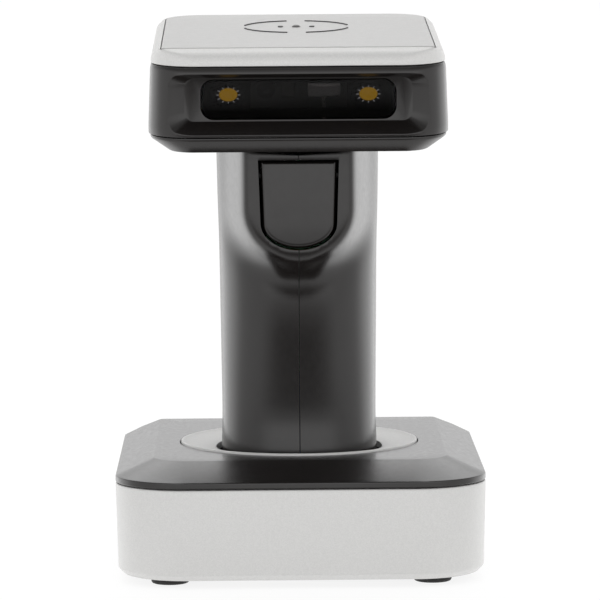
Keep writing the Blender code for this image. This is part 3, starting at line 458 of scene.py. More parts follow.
def combine(obj, others, operation):
    for other in others:
        modifier = obj.modifiers.new("boolean", "BOOLEAN")
        modifier.object = other
        modifier.operation = operation
        modifier.solver = "EXACT"
    bpy.context.view_layer.update()
    applied(obj)
    for other in others:
        bpy.data.objects.remove(other)
    work = bmesh.new()
    work.from_mesh(obj.data)
    bmesh.ops.remove_doubles(work, verts=work.verts, dist=MERGE)
    bmesh.ops.dissolve_degenerate(work, edges=work.edges, dist=MERGE)
    work.to_mesh(obj.data)
    work.free()
    return obj


def cut(obj, *cutters):
    return combine(obj, cutters, "DIFFERENCE")


def add(obj, *additions):
    return combine(obj, additions, "UNION")


def soften(obj, width, angle=35, segments=3):
    modifier = obj.modifiers.new("edges", "BEVEL")
    modifier.width = width * MM
    modifier.segments = segments
    modifier.limit_method = "ANGLE"
    modifier.angle_limit = math.radians(angle)
    return applied(obj)


def finished(obj, slot, node, angle=32, material=None, hides=True):
    """Shades a piece, gives it its material, and lets it ride and stand for its node."""
    obj.data.shade_smooth()
    obj.data.set_sharp_from_angle(angle=math.radians(angle))
    obj.data.materials.clear()
    obj.data.materials.append(MATERIAL[material or slot])
    if hides:
        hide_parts(node)
    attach(obj, BODY_OF[node])


# ---- outlines
def polar(radius, angle):
    return radius * math.cos(angle), radius * math.sin(angle)


def rounded_box(half_width, front, back, front_radius, back_radius, steps=16):
    corners = (
        (half_width - back_radius, back - back_radius, back_radius, 0),
        (back_radius - half_width, back - back_radius, back_radius, 90),
        (front_radius - half_width, front + front_radius, front_radius, 180),
        (half_width - front_radius, front + front_radius, front_radius, 270),
    )
    outline = []
    for x, y, radius, first in corners:
        for i in range(steps + 1):
            a, b = polar(radius, math.radians(first + 90 * i / steps))
            outline.append((x + a, y + b))
    return outline


def four_places(x, y):
    return [(-x, -y), (x, -y), (-x, y), (x, y)]


def base_outline(inset, front=None, back=None):
    """Outline of the base. The front and the back can be set in differently."""
    front = inset if front is None else front
    back = inset if back is None else back
    return rounded_box(
        BASE_HALF_WIDTH - inset, front - BASE_HALF_DEPTH, BASE_HALF_DEPTH - back,
        BASE_CORNER - inset, max(BASE_BACK_CORNER - inset, 1.0), 20,
    )


def level(outline, height):
    return [(x, y, height) for x, y in outline]


def upright(outline, depth):
    return [(x, depth, z) for x, z in outline]


def ellipse(x, y, half_width, half_height, steps=48):
    turn = 2 * math.pi / steps
    return [
        (x + half_width * math.cos(i * turn), y + half_height * math.sin(i * turn))
        for i in range(steps)
    ]


def along(stations, height, column):
    """Value of one column of a table of stations, on a smooth curve through them."""
    rows = [(row[0], row[column]) for row in stations]
    k = max(i for i in range(len(rows) - 1) if rows[i][0] <= height or i == 0)
    (z0, v0), (z1, v1) = rows[k], rows[k + 1]

    def slope(i):
        low, high = max(i - 1, 0), min(i + 1, len(rows) - 1)
        return (rows[high][1] - rows[low][1]) / (rows[high][0] - rows[low][0])

    t = (height - z0) / (z1 - z0)
    bend0, bend1 = slope(k) * (z1 - z0), slope(k + 1) * (z1 - z0)
    return (
        (2 * t**3 - 3 * t**2 + 1) * v0
        + (t**3 - 2 * t**2 + t) * bend0
        + (3 * t**2 - 2 * t**3) * v1
        + (t**3 - t**2) * bend1
    )


# ---- grip outline
def station(height, column):
    return along(HANDLE_STATIONS, height, column)


def bulge(share, power):
    """How far out a rounded oval reaches at a share of its half width."""
    return (1 - share**power) ** (1 / power)


def front_depth(x, height, inset):
    """y of the front of the grip: a rounded oval joined to the trigger's surround."""
    half = station(height, 1) - inset
    reach = HANDLE_CENTRE - station(height, 2) - inset
    oval = HANDLE_CENTRE - reach * bulge(min(1.0, abs(x) / half), FRONT_POWER)
    edge = BOSS_HALF_WIDTH - inset
    drop = max(0.0, BOSS_ARC_HEIGHT - height) * edge / (BOSS_ARC_DROP - inset)
    away = math.hypot(x, drop)
    sideways = abs(x) / away if away else 1.0
    slope = BOSS_UNDER_SLOPE + (BOSS_SIDE_SLOPE - BOSS_UNDER_SLOPE) * sideways**2
    outside = away - edge
    fall = slope * (outside + math.hypot(outside, BOSS_ROUNDING)) / 2
    boss = BOSS_FRONT + inset + fall
    blend = max(0.0, 1 - abs(oval - boss) / BOSS_BLEND)
    return min(oval, boss) - blend**2 * BOSS_BLEND / 4


def back_depth(x, height, inset):
    half, back = station(height, 1) - inset, station(height, 3) - inset
    rounding = bulge(min(1.0, abs(x) / half), BACK_POWER)
    return HANDLE_CENTRE + (back - HANDLE_CENTRE) * rounding


def half_width_at(y, height):
    """Half the width of the back part of the grip at a depth and a height."""
    share = (y - HANDLE_CENTRE) / (station(height, 3) - HANDLE_CENTRE)
    return station(height, 1) * bulge(share, BACK_POWER)


def grip_outline(height, inset=0.0, points=180):
    """The whole outline of the grip at a height, by even turns."""
    half = station(height, 1) - inset
    outline = []
    for i in range(points):
        angle = 2 * math.pi * (i + 0.5) / points
        c, s = math.cos(angle), math.sin(angle)
        power = FRONT_POWER if s < 0 else BACK_POWER
        x = half * math.copysign(abs(c) ** (2 / power), c)
        depth = front_depth if s < 0 else back_depth
        outline.append((x, depth(x, height, inset)))
    return outline


def grip_ring(height, inset=0.0):
    return level(grip_outline(height, inset), height)


def neck_height(y):
    """Height of the sloping top of the grip at a depth."""
    rise = (y - HEAD_ORIGIN.y) * math.tan(HEAD_PITCH)
    return HEAD_ORIGIN.z + rise + HANDLE_TOP / math.cos(HEAD_PITCH)


def half_ring(side, height, inset, edge):
    """Half of the grip's outline from the front seam to the back seam.

    Near the top the ring leans until it lies in the sloping joint with the head."""
    points = []
    turns = 46
    for part in (-1, 1):
        power = FRONT_POWER if part < 0 else BACK_POWER
        depth = front_depth if part < 0 else back_depth
        row = [("near", step) for step in SEAM_STEPS]
        row += [("far", i / turns) for i in range(3, turns + (part < 0))]
        if part > 0:
            row.reverse()
        for kind, value in row:
            z = height
            for _ in range(4):
                half = station(z, 1) - inset - edge
                if kind == "near":
                    x = SEAM_GAP + value
                    short = max(0.0, SEAM_ROUND - value)
                    tuck = SEAM_ROUND - math.sqrt(SEAM_ROUND**2 - short**2)
                else:
                    x = half * math.sin(value * math.pi / 2) ** (2 / power)
                    tuck = 0.0
                y = depth(x, z, inset + edge) - part * tuck
                if height > SLOPE_START:
                    share = (height - SLOPE_START) / (NECK_REFERENCE - SLOPE_START)
                    z = SLOPE_START + share * (neck_height(y) - SLOPE_START)
            points.append((side * x, y, z))
    return points


def trigger_outline(grow=0.0, steps=40):
    half = TRIGGER_HALF_LOW + grow
    drop = TRIGGER_ARC_DROP + grow
    high = TRIGGER_HIGH + min(grow, TRIGGER_TOP_GAP)
    outline = [(TRIGGER_HALF_TOP + grow, high), (-TRIGGER_HALF_TOP - grow, high)]
    for i in range(steps + 1):
        angle = math.pi + math.pi * i / steps
        z = TRIGGER_ARC_HEIGHT + drop * math.sin(angle)
        outline.append((half * math.cos(angle), z))
    return outline


def head_ring(height, half_width, front, back, front_corner=None):
    corner = max(HEAD_CORNER + half_width - HEAD_HALF_LOW, 3.0)
    outline = rounded_box(half_width, front, back, front_corner or corner, corner)
    return level(outline, height)


# ---- fasteners
def make_screw(node, spot, head_radius, head_height, length, axis, head):
    """A pan-head screw with a cross recess, its head facing down the axis."""
    shank, tip = 1.25, 1.2
    pitch, depth = 0.55, 0.16
    slot_half, dome_steps = 0.34, 6
    profile = [(0, head_height)]
    for i in range(dome_steps + 1):
        angle = math.pi / 2 * i / dome_steps
        profile.append((
            head_radius * (0.55 + 0.45 * math.sin(angle)),
            head_height * (0.45 + 0.55 * math.cos(angle)),
        ))
    profile += [(head_radius, 0.05), (head_radius - 0.05, 0), (shank, 0)]
    for i in range(int((length - tip) / pitch)):
        low = -0.3 - i * pitch
        profile.append((shank, low))
        profile.append((shank - depth, low - pitch * 0.45))
    profile += [(shank - depth, -(length - tip)), (0.15, -length), (0, -length)]
    turn = [(radius, -height) for radius, height in profile]
    screw = turned(node + "_threaded", turn, spot, axis, 32, head)
    k, across = (0, (1, 2)) if axis == "X" else (2, (0, 1))
    ends = (spot[k] - (head_height + 1), spot[k] - head_height * 0.3)
    for long_side in across:
        low = [value - slot_half for value in spot]
        high = [value + slot_half for value in spot]
        low[long_side] = spot[long_side] - head_radius * 0.52
        high[long_side] = spot[long_side] + head_radius * 0.52
        low[k], high[k] = ends
        cut(screw, block("recess", low, high, head))
    finished(screw, "steel", node, 40)


def make_screws(family, spots, radius, height, length=9.5, axis="Z", head=False):
    for i, spot in enumerate(spots):
        make_screw(f"{family}_{i + 1}", spot, radius, height, length, axis, head)


# ---- cradle
def make_base_shell():
    profile = (
        (2.15, SHELL_LOW), (2.0, 1.25), (0.81, 2.44), (0.6, 2.72), (0.54, 3.05), (0.0, 24.5),
        (0.06, 24.75), (0.2, 24.93), (0.4, SHELL_HIGH), (2.8, SHELL_HIGH),
        (SHELL_WALL, 24.8), (SHELL_WALL, 1.5), (2.7, SHELL_LOW),
    )
    rings = [level(base_outline(inset), z) for inset, z in profile]
    shell = skin("cradle_silver_shell", rings, closed=True)
    mouth = rounded_box(7.2, 8.3, 18.5, 1.2, 1.2, 6)
    cut(shell, prism("mouth", mouth, 45, 60, "Y"))
    finished(soften(shell, 0.3, 55), "silver_paint", "base_shell")


def make_bottom_plate():
    inset = 3.3
    profile = (
        (inset + 0.3, SHELL_LOW), (inset + 0.06, 1.28), (inset, 1.5), (inset, SHELL_LOW + 2.4),
    )
    plate = skin("cradle_bottom_plate", [level(base_outline(i), z) for i, z in profile])
    cutters = []
    for x, y in four_places(FOOT_X, FOOT_Y):
        cutters.append(rod("seat", 5.3, -1, 2.2, "Z", (x, y, 0), 48))
    for x, y in four_places(BASE_SCREW_X, BASE_SCREW_Y):
        cutters.append(rod("bore", SINK_RADIUS, -1, 2.6, "Z", (x, y, 0), 40))
        cutters.append(rod("hole", SCREW_HOLE_WIDE, 0, 9, "Z", (x, y, 0), 32))
    cutters.append(prism("recess", rounded_box(19, -22, 10, 2, 2, 6), 0, 1.5))
    for x in range(-18, 19, 6):
        cutters.append(prism("vent", rounded_box(1.0, 22, 34, 0.99, 0.99, 6), 0, 1.9))
        cutters[-1].location.x = x * MM
    cut(plate, *cutters)
    finished(soften(plate, 0.15, 50, 2), "grey_plastic", "base_bottom_plate")


def make_feet():
    names = ("front_left", "front_right", "rear_left", "rear_right")
    profile = [(0, 2.9), (4.7, 2.9), (4.95, 2.8), (5.0, 2.6), (5.0, 0.75), (4.9, 0.4)]
    profile += [(4.72, 0.14), (4.4, 0.0)]
    for groove in (3.6, 2.5, 1.4):
        profile += [(groove + 0.25, 0.0), (groove + 0.15, 0.18)]
        profile += [(groove - 0.15, 0.18), (groove - 0.25, 0.0)]
    profile.append((0, 0.0))
    for (x, y), name in zip(four_places(FOOT_X, FOOT_Y), names):
        foot = turned(f"rubber_foot_{name}", profile, (x, y, -LIFT))
        finished(foot, "rubber", f"foot_{name}")


def blended(outline, circle_radius, share, height):
    """A ring part of the way from an outline to a circle about the origin."""
    ring = []
    for x, y in outline:
        away = math.hypot(x, y)
        u, v = x / away * circle_radius, y / away * circle_radius
        ring.append((x + (u - x) * share, y + (v - y) * share, height))
    return ring


def divided(outline, steps=24):
    """An outline of the base with each of its four straight sides cut into short steps."""
    points = []
    for (x0, y0), (x1, y1) in zip(outline, outline[1:] + outline[:1]):
        count = steps if math.dist((x0, y0), (x1, y1)) > 20 else 1
        for i in range(count):
            points.append((x0 + (x1 - x0) * i / count, y0 + (y1 - y0) * i / count))
    return points


def make_base_cover():
    def outline(*insets):
        return divided(base_outline(*insets))

    def slope(share):
        return outline(SLOPE_SIDE * share, SLOPE_FRONT * share, SLOPE_BACK * share)

    edge = outline(SLOPE_SIDE + 0.3, SLOPE_FRONT + 0.3, SLOPE_BACK + 0.3)
    rim = ((0.3, RIM_LOW), (0.08, RIM_LOW + 0.08), (0.0, RIM_LOW + 0.3), (0.0, RIM_HIGH - 0.4))
    rings = [level(outline(inset), z) for inset, z in rim]
    for share, sink in ((0.004, 0.12), (0.02, 0.02), (0.05, 0.0), (0.5, 0.0), (0.97, 0.0)):
        height = RIM_HIGH + (COVER_HIGH - RIM_HIGH) * share - sink
        rings.append(level(slope(share), height))
    rings.append(level(slope(1.0), COVER_HIGH - 0.03))
    for share in (0, 0.35, 0.7, 1):
        rings.append(blended(edge, HOLE_RADIUS + 0.35, share, COVER_HIGH))
    for grow, drop in ((0.1, 0.1), (0.0, 0.35), (0.0, COVER_WALL), (2.0, COVER_WALL)):
        rings.append(blended(edge, HOLE_RADIUS + grow, 1, COVER_HIGH - drop))
    inside = outline(SLOPE_SIDE + 1.2, SLOPE_FRONT + 1.2, SLOPE_BACK + 1.2)
    rings.append(level(inside, COVER_HIGH - COVER_WALL))
    rings += [level(outline(COVER_WALL), z) for z in (RIM_LOW + 0.7, RIM_LOW)]
    cover = skin("cradle_black_cover", rings, closed=True)
    finished(cover, "black_plastic", "base_cover", 8)


def opening_radius(angle, outline):
    """How far the opening reaches from the origin: round the grip, and a notch in front."""
    turns = sorted((math.atan2(y, x), math.hypot(x, y)) for x, y in outline)
    turns = [(turns[-1][0] - 2 * math.pi, turns[-1][1])] + turns
    turns.append((turns[1][0] + 2 * math.pi, turns[1][1]))
    k = max(i for i in range(len(turns) - 1) if turns[i][0] <= angle)
    (a0, r0), (a1, r1) = turns[k], turns[k + 1]
    radius = r0 + (r1 - r0) * (angle - a0) / (a1 - a0)
    if angle < 0:
        across = NOTCH_HALF / max(abs(math.cos(angle)), 1e-6)
        notch = min(across, NOTCH_REACH / abs(math.sin(angle)), DISH_RADIUS - 0.5)
        radius = max(radius, notch)
    return radius


def make_docking_ring():
    outline = grip_outline(30.0, -OPENING_GAP, 360)
    angles = [math.radians(-180 + i) for i in range(360)]
    corner = math.atan2(NOTCH_REACH, NOTCH_HALF)
    for spot in (corner, math.pi - corner):
        angles += [-spot - 0.0015, -spot + 0.0015]
    angles.sort()
    reach = [opening_radius(angle, outline) for angle in angles]

    def ring(radii, height):
        return [
            (*polar(r, a), height(r) if callable(height) else height)
            for r, a in zip(radii, angles)
        ]

    def dish(radius):
        return DISH_LOW + 1.3 * max(0.0, (radius - 20.0) / 11.0) ** 1.6

    profile = (
        (RING_RADIUS, RING_LOW), (RING_RADIUS, RING_HIGH - 0.35),
        (RING_RADIUS - 0.08, RING_HIGH - 0.12), (RING_RADIUS - 0.3, RING_HIGH),
        (DISH_RADIUS + 0.3, RING_HIGH - 0.02), (DISH_RADIUS, RING_HIGH - 0.18),
    )
    rings = [ring([radius] * len(angles), height) for radius, height in profile]
    for share in (0.04, 0.3, 0.65, 1.0):
        rings.append(ring([DISH_RADIUS + (r + 0.3 - DISH_RADIUS) * share for r in reach], dish))
    rings.append(ring([r + 0.08 for r in reach], lambda r: dish(r) - 0.08))
    rings.append(ring(reach, lambda r: dish(r) - 0.3))
    rings.append(ring(reach, RING_LOW))
    made = skin("cradle_docking_ring", rings, closed=True)
    finished(made, "silver_paint", "docking_ring")


def make_contacts():
    pin_profile = (
        (0, 12.1), (0.25, 12.07), (0.45, 11.95), (0.6, 11.75), (0.68, 11.5), (0.72, 11.2),
        (0.72, 9.3), (0.66, 9.2), (0.66, 9.0), (0.72, 8.9), (0.72, 8.8), (0, 8.8),
    )
    pad_profile = (
        (0, 12.55), (0.6, 12.5), (0.75, 12.4), (1.7, 12.4), (1.9, 12.46), (2.0, 12.6),
        (2.0, 14.2), (0, 14.2),
    )
    for side, word in SIDES:
        spot = (side * CONTACT_X, CONTACT_Y, 0)
        pin = turned(f"spring_contact_{word}", pin_profile, spot, steps=32)
        finished(pin, "gold_contact", f"contact_pin_{word}")
        pad = turned(f"charging_contact_{word}", pad_profile, spot, steps=40)
        finished(pad, "gold_contact", f"charge_pad_{word}")


def make_cable_socket():
    socket = prism(
        "cable_socket_housing", rounded_box(7.8, 7.3, 20.4, 0.6, 0.6, 4), 36.2, 50.2, "Y"
    )
    mouth = prism("mouth", rounded_box(5.9, 9.6, 17.2, 0.3, 0.3, 3), 40, 60, "Y")
    latch = block("latch", (-2.6, 42, 16.2), (2.6, 60, 18.8))
    cut(socket, mouth, latch)
    finished(soften(socket, 0.2, 55, 2), "grey_plastic", "cable_socket")
    route = ((41.0, 10.3), (43.5, 10.4), (48.2, 10.5), (48.6, 10.9), (43.5, 13.6))
    corners = ((-0.22, 0.1), (0.22, 0.1), (0.22, -0.1), (-0.22, -0.1))
    for i in range(8):
        x = -4.41 + 1.26 * i
        wire = skin(
            f"socket_contact_{i + 1}", [[(x + a, y, z + b) for a, b in corners] for y, z in route]
        )
        finished(wire, "gold_contact", "cable_socket", hides=False)


# ---- grip
def above_surround():
    """Everything above the trigger's surround, in front of the neck."""
    right = [*BOSS_TOP, (BOSS_TOP[-1][0], 130.0)]
    left = [(-x, z) for x, z in right[:0:-1]]
    return prism("above_surround", right + left, -60, NECK_FRONT, "Y")


def surround_roof(side):
    """The closed top of the trigger's surround and the front wall of the neck."""
    heights = (BOSS_ROOF, 110.5, 112.0, 114.0, 116.0)
    roof = skin("roof", [grip_ring(h, 0.5) for h in heights])
    inner, outer = sorted((side * -30, side * SEAM_GAP))
    cut(
        roof,
        block("behind", (-30, NECK_FRONT + HANDLE_WALL, 90), (30, 60, 130)),
        block("other_side", (inner, -60, 90), (outer, 60, 130)),
        block("above", (-60, -40, HANDLE_TOP - GAP), (60, 130, 60), True),
    )
    return roof


def make_handle_shells():
    heights = [14.3, 15.0, 17, 20, 24, 28, 33, *range(36, 65, 4), 67]
    heights += [70 + 1.5 * i for i in range(21)]
    heights += [102, 104, 106, 108, 110, 111.5]
    for side, word in SIDES:
        rows = [(14.0, 0.3), (14.06, 0.12)] + [(h, 0.0) for h in heights]
        rows += [(111.9, 0.1), (112.0, 0.3)]
        rings = []
        for height, edge in rows:
            outer = half_ring(side, height, 0.0, edge)
            inner = half_ring(side, height, HANDLE_WALL, 0.0)
            rings.append(outer + inner[::-1])
        shell = skin(f"grip_{word}_half", rings)
        pocket = prism("pocket", trigger_outline(TRIGGER_CLEARANCE), -45, -26, "Y")
        posts, cutters = [surround_roof(side)], [pocket, above_surround()]
        for y, z in HANDLE_SCREWS:
            seat = half_width_at(y + POST_RADIUS, z)
            if side < 0:
                spot = (0, y, z)
                posts.append(rod("post", POST_RADIUS, -0.9, 0.8 - seat, "X", spot, 37))
                cutters.append(rod("hole", SCREW_HOLE, 0, -40, "X", spot))
                cutters.append(rod("sink", SINK_RADIUS, 2.0 - seat, -30, "X", spot, 40))
        add(shell, *posts)
        cut(shell, *cutters)
        soften(shell, 0.16, 55, 2)
        finished(shell, "black_plastic", f"handle_{word}_shell", 40)


def handle_screw_spots():
    return [(2.0 - half_width_at(y + POST_RADIUS, z) - 0.2, y, z) for y, z in HANDLE_SCREWS]


def make_end_cap():
    rows = (
        (HANDLE_LOW, 1.3), (HANDLE_LOW + 0.1, 0.8), (HANDLE_LOW + 0.4, 0.35),
        (HANDLE_LOW + 0.9, 0.05), (HANDLE_LOW + 1.2, 0.0), (CAP_HIGH - 0.2, 0.0),
        (CAP_HIGH, 0.2), (CAP_HIGH, 2.4), (17.0, 2.4), (17.0, 3.8),
    )
    cap = skin("grip_end_cap", [grip_ring(z, inset) for z, inset in rows])
    holes = [
        rod("hole", 2.3, 8, 16, "Z", (side * CONTACT_X, CONTACT_Y, 0)) for side in (-1, 1)
    ]
    hollow = skin("hollow", [grip_ring(CAP_HIGH, 3.8), grip_ring(20, 3.8)])
    cut(cap, hollow, *holes)
    finished(soften(cap, 0.12, 60, 2), "black_plastic", "handle_end_cap")


def make_trigger():
    rows = (
        (-34.6, 0.0), (-35.4, 0.0), (-36.3, 0.24), (-36.6, 0.34), (-36.82, 0.5),
        (-36.95, 0.78), (-37.0, 1.2),
    )
    paddle = skin("trigger_paddle", [upright(trigger_outline(-i), y) for y, i in rows])
    ears = [
        block("ear", (left, -35.6, 101.5), (right, -28.9, 107.4))
        for left, right in ((-7.2, -4.6), (4.6, 7.2))
    ]
    add(paddle, *ears, block("rib", (-1.2, -35.6, 90.4), (1.2, -27.6, 93.6)))
    cut(paddle, rod("bore", 1.2, -20, 20, "X", (0, PIVOT_Y, PIVOT_Z)))
    finished(paddle, "black_plastic", "trigger", 30)


# ---- head
def lower_ring(height, side, front):
    return head_ring(height, HEAD_HALF_LOW - side, front, HEAD_LENGTH - side)


def undercut_ring(height, share):
    """A ring of the chamfer under the head, from none of its run to all of it."""
    side, front = OVERHANG + UNDERCUT_SIDE * share, OVERHANG + UNDERCUT_FRONT * share
    return lower_ring(height, side, front)


def make_head_lower_shell():
    rows = (
        (HEAD_FLOOR, 1.1), (HEAD_FLOOR + 0.05, 1.03), (HEAD_FLOOR + 0.22, 0.95),
        (-1.25, 0.085), (-1.0, 0.035), (-0.8, 0.005), (-0.6, 0.0), (-0.3, 0.0),
    )
    shell = skin("head_lower_housing", [undercut_ring(z, i) for z, i in rows], head=True)
    inner = ((HEAD_FLOOR + 2, 7.4, 4.9), (-0.9, 2.5, 2.5), (1.0, 2.5, 2.5))
    cutters = [
        skin("hollow", [lower_ring(*row) for row in inner], head=True),
        prism("neck", rounded_box(12, 32, 66, 5, 5), -10, 5, head=True),
    ]
    for x, y in HEAD_SCREWS:
        spot = (x, y, 0)
        cutters.append(rod("sink", SINK_RADIUS, -9, HEAD_FLOOR + 1.1, "Z", spot, 40, True))
        cutters.append(rod("hole", SCREW_HOLE_WIDE, -9, 5, "Z", spot, 32, True))
    cut(shell, *cutters)
    finished(soften(shell, 0.18, 60, 2), "black_plastic", "head_lower_shell")


def nose_opening():
    def ring(y):
        share = (5.0 - y) / 5.0
        half = 29.4 + 7.3 * share
        low, high = 3.6 - 2.9 * share, 14.8 + 1.6 * share
        radius = 2.6 + 1.6 * share
        return upright(rounded_box(half, low, high, radius, radius, 8), y)

    return skin("funnel", [ring(-2.0), ring(5.0)], head=True)


def window_outline(grow=0.0):
    radius = WINDOW_CORNER + grow
    return rounded_box(
        WINDOW_HALF + grow, WINDOW_LOW - grow, WINDOW_HIGH + grow, radius, radius, 10
    )


def make_head_body():
    rows = ((0.0, 0.25), (0.08, 0.08), (0.3, 0.0), (2.4, 0.0))
    rings = [lower_ring(z, inset, inset) for z, inset in rows]
    for i in range(9):
        angle = math.radians(11.25 * i)
        z = BODY_HIGH - 1.9 * (1 - math.sin(angle))
        side, front = (depth * (1 - math.cos(angle)) for depth in (0.7, 1.5))
        back = HEAD_LENGTH - 0.35 - side
        rings.append(head_ring(z, HEAD_HALF_HIGH - side, 0.35 + front, back))
    body = skin("head_front_housing", rings, head=True)
    cavity = rounded_box(HEAD_HALF_HIGH - 2.2, NOSE_DEPTH, HEAD_LENGTH - 2.6, 3.0, 9.6)
    cut(
        body,
        prism("cavity", cavity, -5, 25, head=True),
        nose_opening(),
        prism("window", window_outline(), 4.0, NOSE_DEPTH + 2, "Y", True),
    )
    soften(body, 0.25, 50, 3)
    finished(body, "black_plastic", "head_body", 36)


def make_top_cover():
    # step, height, inset at the sides, inset at the front, radius of the front corners
    levels = (
        (0.0, COVER_LOW, 0.15, 0.7, 11.9),
        (1.0, 19.6, 0.3, 0.9, 11.6),
        (2.0, 20.8, 0.8, 1.5, 10.0),
        (3.0, 21.6, 1.6, 2.6, 7.0),
        (4.0, 22.1, 2.1, 4.3, 3.6),
        (5.0, TOP_HEIGHT, 2.6, 5.3, 1.8),
    )
    rings = [head_ring(COVER_LOW, HEAD_HALF_HIGH - 0.4, 1.35, HEAD_LENGTH - 0.8, 11.7)]
    rings.append(head_ring(COVER_LOW + 0.06, HEAD_HALF_HIGH - 0.2, 1.15, HEAD_LENGTH - 0.6, 11.9))
    for i in range(2, 41):
        t = i / 8
        z, side, front, corner = (along(levels, t, column) for column in (1, 2, 3, 4))
        back = HEAD_LENGTH - 0.4 - side
        rings.append(head_ring(z, HEAD_HALF_HIGH - side, 0.4 + front, back, corner))
    cover = skin("head_silver_cover", rings, head=True)
    inside = rounded_box(HEAD_HALF_HIGH - 2.4, 3.4, HEAD_LENGTH - 3.4, 9.2, 9.2)
    posts, holes = [], []
    for x, y in HEAD_SCREWS:
        posts.append(rod("post", 3.0, HEAD_FLOOR + 2.3, 20, "Z", (x, y, 0), 32, True))
        holes.append(rod("hole", SCREW_HOLE, -9, 9, "Z", (x, y, 0), 24, True))
    cut(
        cover,
        prism("inside", inside, 15, 19.2, head=True),
        prism("seat", panel_outline(GAP), 21.05, 30, head=True),
        rod("light", 1.4, 15, 25, "Z", (0, EMBLEM_Y, 0), 32, True),
    )
    add(cover, *posts)
    cut(cover, *holes)
    finished(soften(cover, 0.08, 60, 2), "silver_paint", "head_top_cover", 28)


def panel_outline(grow=0.0):
    return rounded_box(PANEL_HALF + grow, PANEL_FRONT - grow, PANEL_BACK + grow, 0.8, 9.5)


def arc_outline(first, last, steps=36):
    """Part of the emblem's circle, between two angles in degrees."""
    outline = []
    for edge, order in ((0.5, range(steps + 1)), (-0.5, range(steps, -1, -1))):
        for i in order:
            angle = math.radians(first + (last - first) * i / steps)
            x, y = polar(EMBLEM_RADIUS + edge * EMBLEM_LINE, angle)
            outline.append((x, EMBLEM_Y + y))
    return outline


def make_top_panel():
    rings = []
    for inset, z in ((0.0, 21.35), (0.0, 22.45), (0.05, 22.55), (0.18, 22.6)):
        rings.append(level(panel_outline(-inset), z))
    panel = skin("head_top_panel", rings, head=True)
    cut(panel, rod("light", 1.3, 20, 24, "Z", (0, EMBLEM_Y, 0), 32, True))
    finished(panel, "silver_paint", "top_panel", 30, "silver_film")
    outlines = []
    for quarter in range(4):
        start = 90 * quarter
        low, high = (14, 80) if quarter % 2 == 0 else (10, 76)
        outlines.append(arc_outline(start + low, start + high))
    for side in (-1, 1):
        outlines.append(ellipse(side * 4.2, EMBLEM_Y, 0.7, 0.9, 32))
    for i, outline in enumerate(outlines):
        mark = prism(f"raised_mark_{i + 1}", outline, 22.5, 22.85, head=True)
        finished(mark, "black_plastic", "top_panel", 30, "ink", hides=False)


def make_status_light():
    profile = (
        (0, 9.9), (1.08, 9.9), (1.08, 22.6), (1.05, 22.78), (0.95, 22.93), (0.75, 23.06),
        (0.5, 23.14), (0.25, 23.18), (0, 23.2),
    )
    light = turned("status_light_pipe", profile, (0, EMBLEM_Y, 0), steps=32, head=True)
    finished(light, "pale_seal", "status_light", 40, "smoked_light")


def make_window():
    rows = ((0.15, 5.6), (0.04, 5.64), (0.0, 5.75), (0.0, 6.65), (0.15, 6.8))
    rings = [upright(window_outline(-GAP - inset), y) for inset, y in rows]
    finished(skin("scan_window", rings, head=True), "window_glass", "window_glass")
    mask = prism("window_mask_plate", window_outline(-GAP), 7.1, 8.3, "Y", True)
    middle = (CLEAR_LEFT + CLEAR_RIGHT) / 2
    half = (CLEAR_RIGHT - CLEAR_LEFT) / 2
    clear = rounded_box(half, CLEAR_LOW, CLEAR_HIGH, 0.2, 0.2, 3)
    clear = [(x + middle, z) for x, z in clear]
    cutters = [prism("clear", clear, 6, 9, "Y", True)]
    for side in (-1, 1):
        lamp = ellipse(side * LED_X, LED_Z, 2.4, 1.75)
        cutters.append(prism("lamp", lamp, 6, 9, "Y", True))
    cut(mask, *cutters)
    finished(mask, "black_plastic", "window_mask", material="window_print")


def make_lamps():
    rows = ((0.3, 6.95), (0.7, 7.0), (0.93, 7.1), (1.0, 7.3), (1.0, 10.2))
    for side, word in SIDES:
        x = side * LED_X
        rings = [
            upright(ellipse(x, LED_Z, LED_HALF_X * share, LED_HALF_Z * share), y)
            for share, y in rows
        ]
        lens = skin(f"aiming_lamp_{word}", rings, head=True)
        # the lens material glows: painted light, the aiming lamp is not lit
        finished(lens, "amber_lens", f"lamp_lens_{word}", 60)
        work = bmesh.new()
        for i in range(12):
            angle = math.radians(30 * i)
            c, s = math.cos(angle), math.sin(angle)
            corners = []
            for reach, width, edge in (
                (1.06, 0.16, -1), (1.06, 0.16, 1), (1.36, 0.1, 1), (1.36, 0.1, -1),
            ):
                corners.append((
                    x + LED_HALF_X * reach * c - edge * width / 2 * s,
                    LED_Z + LED_HALF_Z * reach * s + edge * width / 2 * c,
                ))
            add_skin(work, [upright(corners, y) for y in (7.02, 7.09)])
        # the ray marks are print that glows: painted light
        rays = from_work(f"lamp_ray_marks_{word}", work, True)
        finished(rays, "grey_plastic", f"lamp_lens_{word}", 30, "pale_ink_painted_glow", hides=False)


def make_scan_mirror():
    outline = rounded_box(4.2, MIRROR_Z - 1.8, MIRROR_Z + 1.8, 0.7, 0.7, 6)
    outline = [(x + MIRROR_X, z) for x, z in outline]
    low, high = MIRROR_Y - 2.6, MIRROR_Y - 1.4
    mirror = prism("oscillating_mirror", outline, low, high, "Y", True)
    spot = (MIRROR_X, MIRROR_Y, 0)
    hub = rod("hub", 1.7, MIRROR_Z - 1.8, MIRROR_Z + 1.8, "Z", spot, 40, True)
    add(mirror, hub)
    cut(mirror, rod("bore", 0.8, 0, 20, "Z", spot, 24, True))
    finished(soften(mirror, 0.12, 60, 2), "mirror", "scan_mirror")


